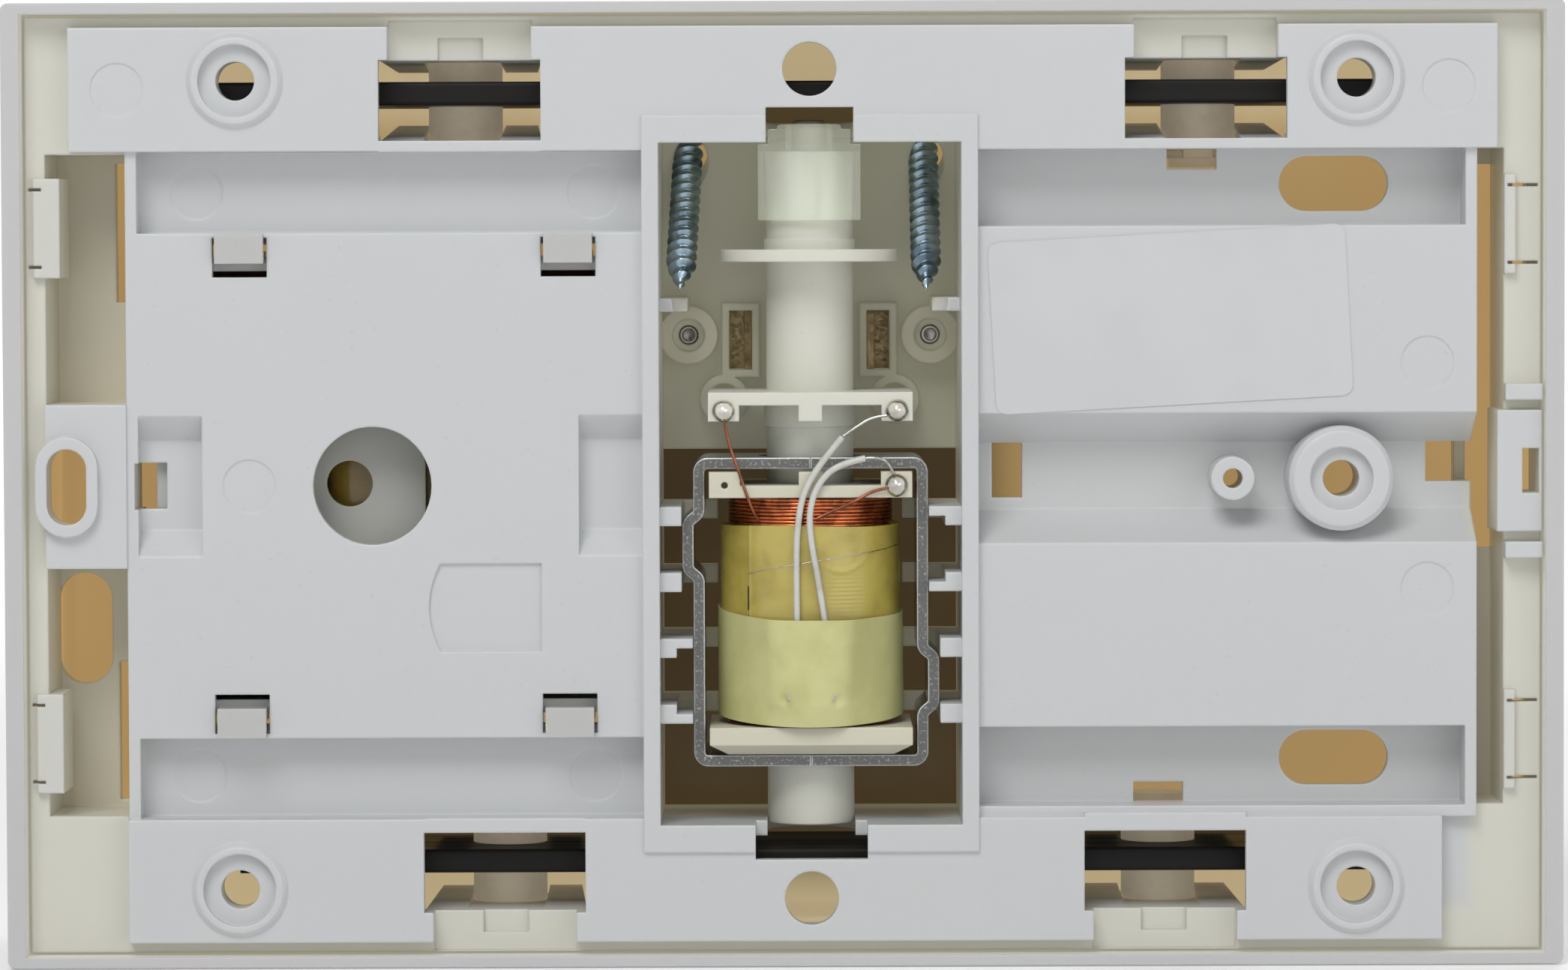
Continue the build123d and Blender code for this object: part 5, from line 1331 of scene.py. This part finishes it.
@dataclass
class Coil:
    """The solenoid's copper, its two tapes and the line under the amber one."""

    radius: float = 10.7
    wire: float = 0.215
    pitch: float = 0.475
    top: float = -2.08
    bottom: float = -32.1
    wander: float = 0.07
    wander_across: float = 0.16
    wander_along: float = 1.9
    pack_wall: float = 3.9
    pack_edge: float = 0.25
    inner_radius: float = 12.05
    inner_top: float = -5.6
    inner_bottom: float = -25.6
    seam_x: float = 8.25
    seam_reach: float = 0.75
    seam_step: float = 0.07
    seam_ridge: Ends = (0.09, 0.06)
    outer_radius: float = 12.36
    outer_top: float = -17.9
    outer_bottom: float = -32.05
    bump_reach: float = 13.74
    bump_half: Ends = (3.1, 1.9)
    film: float = 0.07
    thread_radius: float = 0.055

    def axis(self) -> Matrix:
        """Gives the move from the Z axis to the works' axis."""
        return moved(WORKS_X, WORKS_DEPTH, 0)

    def build_copper(self) -> None:
        """Winds the visible turns, and the pack of wire that they lie on."""
        coils = []
        for out, low, turns in (
            (0.21, self.top, 7.45),
            (-0.16, self.top - self.pitch / 2, 7.0),
            (0.2, self.bottom + 1.9, 4.1),
        ):

            def loosen(place: Vector, start: float = low) -> Vector:
                """Lets the turns wander a little, as hand-laid wire does."""
                across, along = self.wander_across, self.wander_along
                key = Vector((place.x * across, place.y * across, (place.z - start) * along))
                away = Vector((place.x, place.y, 0)).normalized()
                rise = self.wander * noise.noise(key + Vector((9, 0, 0)))
                return place + away * self.wander * noise.noise(key) + Vector((0, 0, rise))

            wound = Bench.helix(self.radius + out, self.wire, low, turns, -self.pitch)
            Bench.shape(wound, loosen)
            coils.append(wound)
        wound = Bench.put(Bench.join(coils), self.axis())
        finish_piece(wound, Label("coil_turns", Finishes.COPPER, "copper", ("coil_winding",), angle=60))
        self.build_pack()

    def build_pack(self) -> None:
        """Models the pack of wire as a tube with soft edges."""
        within, hole, rim = 0.2, 2, 10
        pack = Bench.cylinder(self.radius - within, self.bottom, self.top + within, sides=72)
        Bench.pick(pack, Pick.FACE, lambda centre, normal: abs(normal.z) > 0.9)
        Bench.inset(self.pack_wall)
        Bench.done()
        Bench.pick(pack, Pick.FACE, lambda centre, normal: abs(normal.z) > 0.9 and centre.xy.length < hole)
        bpy.ops.mesh.bridge_edge_loops(use_merge=False)
        Bench.done()
        Bench.pick(pack, Pick.EDGE, lambda centre, way: abs(way.z) < 0.1 and centre.xy.length > rim)
        Bench.bevel(self.pack_edge)
        Bench.outward(pack, merge=0.002)
        Bench.put(pack, self.axis())
        finish_piece(pack, Label("coil_pack", Finishes.COPPER, "copper", ("coil_body",)))

    def roll(
        self,
        rows: int,
        radius_of: Callable[[float, float], float],
        height_of: Callable[[float, float], float],
        columns: int = 288,
    ) -> Piece:
        """Rolls a grid into a closed sleeve of film round the works' axis.

        Args:
            rows: Faces along the axis.
            radius_of: The outer radius at an angle from the back and a height share.
            height_of: The height there, in millimetres.
            columns: Faces round it.

        Returns:
            The sleeve with its wall, its faces outwards.
        """
        Bench.clear()
        bpy.ops.mesh.primitive_grid_add(x_subdivisions=columns, y_subdivisions=rows, size=2)
        sleeve = Bench.settle()

        def wrap(place: Vector) -> Vector:
            """Carries a point of the flat film to the sleeve."""
            angle = place.x * MM * math.pi
            share = (place.y * MM + 1) / 2
            radius = radius_of(angle, share)
            return Vector((radius * math.sin(angle), radius * math.cos(angle), height_of(angle, share)))

        Bench.shape(sleeve, wrap)
        Bench.outward(sleeve, merge=0.01)
        Bench.modify(sleeve, "SOLIDIFY", thickness=self.film * MM, offset=-1)
        return Bench.put(sleeve, self.axis())

    def build_amber_tape(self) -> None:
        """Rolls the amber tape with its seam, creases and ripples."""
        seam = math.asin(self.seam_x / self.inner_radius)
        ridge, ridge_half = self.seam_ridge
        air_height, air_x, air_z, edge_sway, layer = 0.05, 0.35, 0.22, 0.12, 0.1
        swell_x, swell_z, swell_wide, swell_high, ripple = -5.2, -14.4, 2.6, 1.9, 11.5
        fold_x, fold_z, fold_wide, fold_high, fold_bend, fold_middle = -4.4, -11.6, 2.4, 0.35, 0.14, -4.0
        fold_height = 0.14

        def level(share: float) -> float:
            """Gives the height at a share of the tape's width."""
            return self.inner_bottom + (self.inner_top - self.inner_bottom) * share

        def radius_of(angle: float, share: float) -> float:
            """Gives the tape its step at the seam, its air and its creases."""
            z, x = level(share), self.inner_radius * math.sin(angle)
            radius = self.inner_radius - layer
            if seam < angle < seam + self.seam_reach:
                radius += self.seam_step
            radius += ridge * max(0.0, 1 - abs(angle - seam) / ridge_half) ** 2
            radius += air_height * noise.noise(Vector((x * air_x, z * air_z, angle)))
            swell = hump((x - swell_x) / swell_wide, (z - swell_z) / swell_high)
            radius += air_height * swell * math.sin(z * ripple)
            rise = z - fold_z - fold_bend * (x - fold_middle) ** 2
            return radius + fold_height * hump(rise / fold_high, (x - fold_x) / fold_wide)

        def height_of(angle: float, share: float) -> float:
            """Lets the tape's upper edge wander."""
            return level(share) + edge_sway * share**6 * math.sin(3 * angle + 0.6)

        tape = self.roll(rows=120, radius_of=radius_of, height_of=height_of)
        finish_piece(tape, Label("amber_tape", Finishes.AMBER, "amber_tape", ("coil_tape_inner",), angle=50))

    def build_pale_tape(self) -> None:
        """Rolls the pale tape over the coil and tight over the fuse under it."""
        least_half, more_half = self.bump_half
        fade_share, folds, fold_spread, fold_more = 0.2, 3, 0.028, 0.03
        dent_depth, dent_share, dent_wide, dent_high, air_height = 0.45, 0.24, 0.045, 0.06, 0.05
        slope_mains, slope_bell, sag = 1.35, 0.55, 1.2

        def stretched(turn: float, share: float) -> float:
            """Stretches the tape from the coil to the fuse's two long edges."""
            half = least_half + more_half * share
            corner = math.atan2(half, self.bump_reach)
            across = math.hypot(half, self.bump_reach)
            tangent = corner + math.acos(min(1.0, self.outer_radius / across))
            if turn > tangent:
                return self.outer_radius
            flat = self.bump_reach / math.cos(turn)
            side = self.outer_radius / math.cos(tangent - turn)
            radius = min(across, flat if turn < corner else side)
            fade = min(1.0, share / fade_share)
            return self.outer_radius + (radius - self.outer_radius) * (0.5 + 0.5 * fade)

        def radius_of(angle: float, share: float) -> float:
            """Rounds the folds, dents them where the fuse ends, and lets the film lie uneven."""
            turn = abs(angle)
            spread = fold_spread + fold_more * (1 - share)
            steps = range(-folds, folds + 1)
            radius = sum(stretched(abs(turn + spread * step), share) for step in steps) / len(steps)
            corner = math.atan2(least_half + more_half * share, self.bump_reach)
            dent = hump((turn - corner) / dent_wide, (share - dent_share) / dent_high)
            uneven = noise.noise(Vector((angle * 2.2, share * 5, 3.0)))
            return radius - dent_depth * dent + air_height * uneven

        def height_of(angle: float, share: float) -> float:
            """Slopes the tape's upper edge and lets its lower edge sag."""
            side = min(1.0, 1 - math.cos(angle))
            top = self.outer_top + side * (slope_mains if angle > 0 else slope_bell)
            low = self.outer_bottom + side * sag
            return low + (top - low) * share

        tape = self.roll(rows=90, radius_of=radius_of, height_of=height_of)
        finish_piece(tape, Label("pale_tape", Finishes.PALE, "pale_tape", ("coil_tape_outer",), angle=50))

    def build_thread(self) -> None:
        """Lays the thin grey line that crosses the amber tape."""
        count, start, sweep, low, rise, bow = 9, 43, 118, -11.9, 3.5, 0.4
        radius = self.inner_radius + 0.02
        points = []
        for step in range(count):
            share = step / (count - 1)
            angle = math.radians(start - sweep * share)
            z = low + rise * share + bow * math.sin(math.pi * share)
            x = WORKS_X + radius * math.sin(angle)
            points.append((x, WORKS_DEPTH - radius * math.cos(angle), z))
        thread = Leads().tube("tape_thread", points, 2 * self.thread_radius)
        finish_piece(thread, Label("tape_thread", Finishes.TINNED, "tinned_wire", angle=60))


@dataclass
class Leads:
    """The held leads: the fuse's sleeves, their bare ends and the coil's copper ends."""

    sleeve: float = 0.86
    bare: float = 0.42
    sleeve_a: tuple[Place, ...] = (
        (-7.7, 1.91, 6.2), (-4.9, 1.81, 2.9), (-2.75, 1.91, -0.6),
        (-1.9, 1.46, -4.0), (-1.5, 1.46, -10.0), (-1.7, 1.2, -20.14),
    )
    sleeve_b: tuple[Place, ...] = (
        (-10.7, 1.91, 3.4), (-7.2, 1.81, 2.7), (-4.6, 1.91, 0.3), (-3.3, 1.56, -3.2),
        (-3.5, 1.46, -7.6), (-4.6, 1.46, -13.0), (-5.6, 1.2, -20.14),
    )
    wire_a: tuple[Place, ...] = (
        (-7.8, 1.93, 6.3), (-9.6, 1.93, 7.6), (-11.8, 1.93, 8.9), (-13.59, 1.65, 9.02),
    )
    wire_b: tuple[Place, ...] = (
        (-10.8, 1.93, 3.42), (-12.4, 1.93, 3.5), (-13.8, 1.93, 2.9), (-14.47, 1.65, 1.33),
    )
    coil_start: tuple[Place, ...] = (
        (7.8, 1.65, 8.19), (7.3, 2.13, 5.4), (5.9, 2.08, 1.6),
        (5.0, 2.08, -1.2), (4.2, 2.23, -3.3), (3.4, 3.73, -4.9),
    )
    coil_end: tuple[Place, ...] = (
        (-13.41, 1.65, -0.59), (-11.8, 2.13, -0.8), (-9.4, 2.13, -2.3),
        (-5.6, 2.63, -3.9), (-4.2, 2.58, -4.6),
    )

    def tube(self, name: str, points: Sequence[Place], diameter: float) -> Piece:
        """Draws a wire along a smooth route and makes it a closed mesh.

        Args:
            name: The wire's name.
            points: The route's points of x, depth and z, in millimetres.
            diameter: The wire's diameter.

        Returns:
            The wire, its place in its mesh.
        """
        curve = bpy.data.curves.new(name, "CURVE")
        curve.dimensions = "3D"
        spline = curve.splines.new("NURBS")
        spline.points.add(len(points) - 1)
        for point, place in zip(spline.points, points):
            point.co = (*at(*place), 1.0)
        spline.order_u = 3
        spline.use_endpoint_u = True
        spline.resolution_u = 14
        curve.bevel_depth = diameter / 2 * MM
        curve.bevel_resolution = 4
        curve.use_fill_caps = True
        wire = bpy.data.objects.new(name, curve)
        bpy.context.scene.collection.objects.link(wire)
        Bench.hold(wire)
        bpy.ops.object.convert(target="MESH")
        wire = bpy.context.object
        Bench.outward(wire)
        return wire

    def build(self) -> None:
        """Draws every held lead along its route of x, depth and z."""
        sleeve, bare = (self.sleeve, Finishes.SLEEVE, "sleeving"), (self.bare, Finishes.TINNED, "tinned_wire")
        copper = (self.bare, Finishes.COPPER_LEAD, "copper")
        for node, (diameter, finish, slot), points in (
            ("sleeved_lead_a", sleeve, self.sleeve_a),
            ("sleeved_lead_b", sleeve, self.sleeve_b),
            ("fuse_wire_a", bare, self.wire_a),
            ("fuse_wire_b", bare, self.wire_b),
            ("coil_lead_start", copper, self.coil_start),
            ("coil_lead_end", copper, self.coil_end),
        ):
            name = node + "_wire"
            finish_piece(self.tube(name, points, diameter), Label(name, finish, slot, (node,), angle=60))


@dataclass
class SolderJoints:
    """The beads of solder on the terminal pins."""

    radius: float = 1.45
    depth: float = 2.4
    height: float = 1.42
    foot: float = 0.12
    flare: float = 0.06
    lump: float = 0.06
    tail: float = 0.12
    squash: float = 0.94
    peak: float = 0.14
    spots: tuple[tuple[float, float, Bead], ...] = (
        (7.95, 9.7, Bead.FLAT),
        (-14.95, 9.7, Bead.ROUND),
        (-14.85, -0.13, Bead.TEAR),
    )

    def build(self) -> None:
        """Models each bead from a sphere: a flat foot, a drawn-up middle, a tail on one."""
        beads = []
        for x, z, shape in self.spots:
            Bench.clear()
            bpy.ops.mesh.primitive_uv_sphere_add(segments=40, ring_count=24, radius=MM)
            bead = Bench.settle()

            def draw(place: Vector, x: float = x, z: float = z, shape: Bead = shape) -> Vector:
                """Rounds the drop, draws out its tail and leaves a small peak on it."""
                up = max(0.0, place.z)
                uneven = self.lump * noise.noise(place * 1.4 + Vector((x, z, 0)))
                wide = self.radius * (1.0 + self.flare * (1 - up) + uneven)
                side = place.y * (1 + self.tail * shape.value * max(0.0, place.y)) * self.squash
                tall = self.height * ((1 - self.peak) * up + self.peak * up**12)
                return Vector((place.x * wide, side * wide, tall if place.z > 0 else place.z * self.foot))

            Bench.shape(bead, draw)
            beads.append(Bench.put(bead, moved(x, self.depth, z) @ turned(-90, "X")))
        joined = Bench.join(beads)
        Bench.outward(joined)
        finish_piece(joined, Label("solder_joints", Finishes.SOLDER, "solder", ("solder_beads",), angle=60))


@dataclass
class Plunger:
    """The spring under the plunger."""

    radius: float = 3.6
    wire: float = 0.3
    low: float = -42.3
    high: float = -24.3
    turns: float = 9.0
    closing: float = 0.045 - 0.06

    def build_spring(self) -> None:
        """Winds the return spring and sets it between the base and the plunger."""
        run = self.high - self.low
        pitch = run / self.turns
        spring = Bench.helix(self.radius, self.wire, self.low, self.turns, pitch, steps=40, sides=10)

        def seat(place: Vector) -> Vector:
            """Closes the end turns, as a coiled spring is made."""
            share = (place.z - self.low) / run
            eased = max(0.0, min(1.0, share + self.closing * math.sin(2 * math.pi * share)))
            return Vector((place.x, place.y, self.low + eased * run))

        Bench.shape(spring, seat)
        Bench.put(spring, moved(WORKS_X, WORKS_DEPTH, 0))
        label = Label("plunger_spring", Finishes.SPRING, "spring_steel", ("return_spring",), angle=60)
        finish_piece(spring, label, rides=False)
        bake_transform(spring)


@dataclass
class Transformer:
    """The mains transformer's wrapped winding."""

    low: Place = (33.93, -35.6, -8.75)
    high: Place = (60.87, -12.4, 8.75)
    limb: Place = (7.0, 7.2, 10.0)
    corner: float = 3.2
    edge: float = 0.4

    def build(self) -> None:
        """Models the wound block with rounded corners, soft edges and the hole for its limb."""
        block = Bench.block(self.low, self.high)
        Bench.pick(block, Pick.EDGE, lambda centre, way: abs(way.z) > 0.9)
        Bench.bevel(self.corner, segments=5)
        Bench.done()
        middle = (Vector(self.low) + Vector(self.high)) / 2
        limb = Bench.block(tuple(middle - Vector(self.limb)), tuple(middle + Vector(self.limb)))
        Bench.combine(block, "DIFFERENCE", limb)
        Bench.modify(block, "BEVEL", width=self.edge * MM, segments=2, limit_method="ANGLE")
        finish_piece(block, Label("wrapped_winding", Finishes.WRAP, "winding_tape", ("transformer_winding",)))


@dataclass
class Dressing:
    """The finishes of the solids that stay as they are."""

    def table(self) -> dict[Finish, tuple[str, ...]]:
        """Lists the nodes that take each finish."""
        return {
            Finishes.CHASSIS: ("chassis",),
            Finishes.HOUSING: ("mains_housing",),
            Finishes.COVER: ("cover",),
            Finishes.FORMER: ("coil_former",),
            Finishes.CREAM: ("lower_bobbin", "transformer_bobbin"),
            Finishes.GUIDE: ("cable_guide",),
            Finishes.STRIKER: ("striker_upper", "striker_lower"),
            Finishes.BLOCK: ("mains_block",),
            Finishes.CERAMIC: ("thermal_fuse",),
            Finishes.BARS: ("tone_bar_upper", "tone_bar_lower"),
            Finishes.GROMMET: ("grommets_upper", "grommets_lower"),
            Finishes.CLEAR: ("clear_cap",),
            Finishes.CORE: ("plunger_core",),
            Finishes.YOKE: ("yoke_mains", "yoke_bell"),
            Finishes.TINNED: ("terminal_pins",),
            Finishes.SCREW: ("mains_screws",),
            Finishes.BRASS: ("mains_inserts",),
            Finishes.CLAMP: ("terminal_clamps",),
            Finishes.STACK: ("transformer_core",),
            Finishes.LABEL: ("rating_label",),
        }

    def dress(self) -> None:
        """Puts the finishes on the solids' material slots."""
        for finish, names in self.table().items():
            for name in names:
                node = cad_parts[name]
                if not node.material_slots:
                    node.data.materials.append(None)
                for slot in node.material_slots:
                    slot.material = material_of(finish)
                LOG.info("%s: finished as %s", name, finish.name)


@dataclass
class Studio:
    """The floor, the lamps, the world and the camera."""

    distance: float = 0.8
    sensor: float = 36.0
    pixels_wide: int = 2091
    pixels_per_mm: float = 10.15
    lift: float = 2.4
    roll: float = -0.2
    level: float = 0.22
    floor_size: float = 6.0
    floor_gap: float = 0.2
    floor_fade: Ends = (0.3, 1.0)
    lamps: tuple[tuple[str, Place, float, float], ...] = (
        ("key", (0.3, 0.95, 1.05), 0.8, 10.6),
        ("fill", (-0.75, 0.9, 0.3), 0.9, 2.0),
        ("front", (-0.3, -1.1, 0.8), 1.2, 7.0),
    )

    def build_camera(self) -> None:
        """Looks at the wall side from the photograph's distance, a little from above."""
        data = bpy.data.cameras.new("camera")
        data.sensor_width = self.sensor
        data.lens = self.sensor * self.distance / (self.pixels_wide / self.pixels_per_mm * MM)
        data.clip_start = 0.01
        camera = bpy.data.objects.new("camera", data)
        lift = math.radians(self.lift)
        camera.location = (0, self.distance * math.cos(lift), self.distance * math.sin(lift))
        aim = turned(180, "Z") @ turned(90 - self.lift, "X") @ turned(self.roll, "Z")
        camera.rotation_euler = aim.to_euler()
        bpy.context.scene.collection.objects.link(camera)
        bpy.context.scene.camera = camera

    def build_floor(self) -> None:
        """Lays the pale floor under the chime, with a soft edge to the distance."""
        Bench.clear()
        low = CAD_BOX[0][2] - self.floor_gap * MM
        bpy.ops.mesh.primitive_plane_add(size=self.floor_size, location=(0, 0, low))
        floor = Bench.settle()
        floor.name = "floor"
        material = bpy.data.materials.new("floor")
        material.use_nodes = True
        graph = Graph(material.node_tree)
        shader = material.node_tree.nodes["Principled BSDF"]
        spots = graph.mottle(graph.place(), scale=3.0)
        pale = graph.mix(spots, screen(238, 238, 238), screen(234, 234, 235))
        away = graph.node("ShaderNodeVectorMath", {0: graph.place()}, operation="LENGTH").outputs["Value"]
        far = graph.between(away, *self.floor_fade)
        base = graph.mix(far, pale, screen(90, 90, 90))
        glow = graph.mix(far, screen(120, 120, 120), screen(246, 246, 246))
        graph.feed(shader.inputs, {"Base Color": base, "Emission Color": glow})
        shader.inputs["Emission Strength"].default_value = 1.0
        shader.inputs["Roughness"].default_value = 0.8
        floor.data.materials.append(material)

    def build_lamps(self) -> None:
        """Hangs three broad lamps that look at the origin."""
        for name, place, size, power in self.lamps:
            data = bpy.data.lights.new(name, "AREA")
            data.shape = "DISK"
            data.size = size
            data.energy = power
            lamp = bpy.data.objects.new(name, data)
            lamp.location = place
            lamp.rotation_euler = (-Vector(place)).to_track_quat("-Z", "Y").to_euler()
            bpy.context.scene.collection.objects.link(lamp)

    def build_world(self) -> None:
        """Sets the even surround, and the white that the camera, metal and glass see."""
        world = bpy.data.worlds.new("surround")
        world.use_nodes = True
        world.node_tree.nodes.clear()
        graph = Graph(world.node_tree)
        path = graph.node("ShaderNodeLightPath").outputs
        seen = graph.most(path["Is Camera Ray"], path["Is Glossy Ray"])
        seen = graph.most(seen, path["Is Transmission Ray"])
        even = graph.node("ShaderNodeBackground", {"Color": WHITE, "Strength": self.level})
        white = graph.node("ShaderNodeBackground", {"Color": WHITE, "Strength": 1.0})
        both = graph.node("ShaderNodeMixShader", {0: seen, 1: even.outputs[0], 2: white.outputs[0]})
        graph.node("ShaderNodeOutputWorld", {"Surface": both.outputs[0]})
        bpy.context.scene.world = world
        bpy.context.scene.view_settings.view_transform = "Standard"


def main() -> None:
    """Builds the studio, the pieces and the finishes."""
    logging.basicConfig(level=logging.INFO, format="%(name)s: %(message)s")
    studio = Studio()
    studio.build_camera()
    Dressing().dress()
    coil = Coil()
    coil.build_copper()
    coil.build_amber_tape()
    coil.build_pale_tape()
    coil.build_thread()
    Leads().build()
    SolderJoints().build()
    fasteners = Fasteners()
    fasteners.build_wall_screws()
    fasteners.build_terminal_screws()
    Plunger().build_spring()
    Transformer().build()
    studio.build_floor()
    studio.build_lamps()
    studio.build_world()


if __name__ == "__main__":
    main()
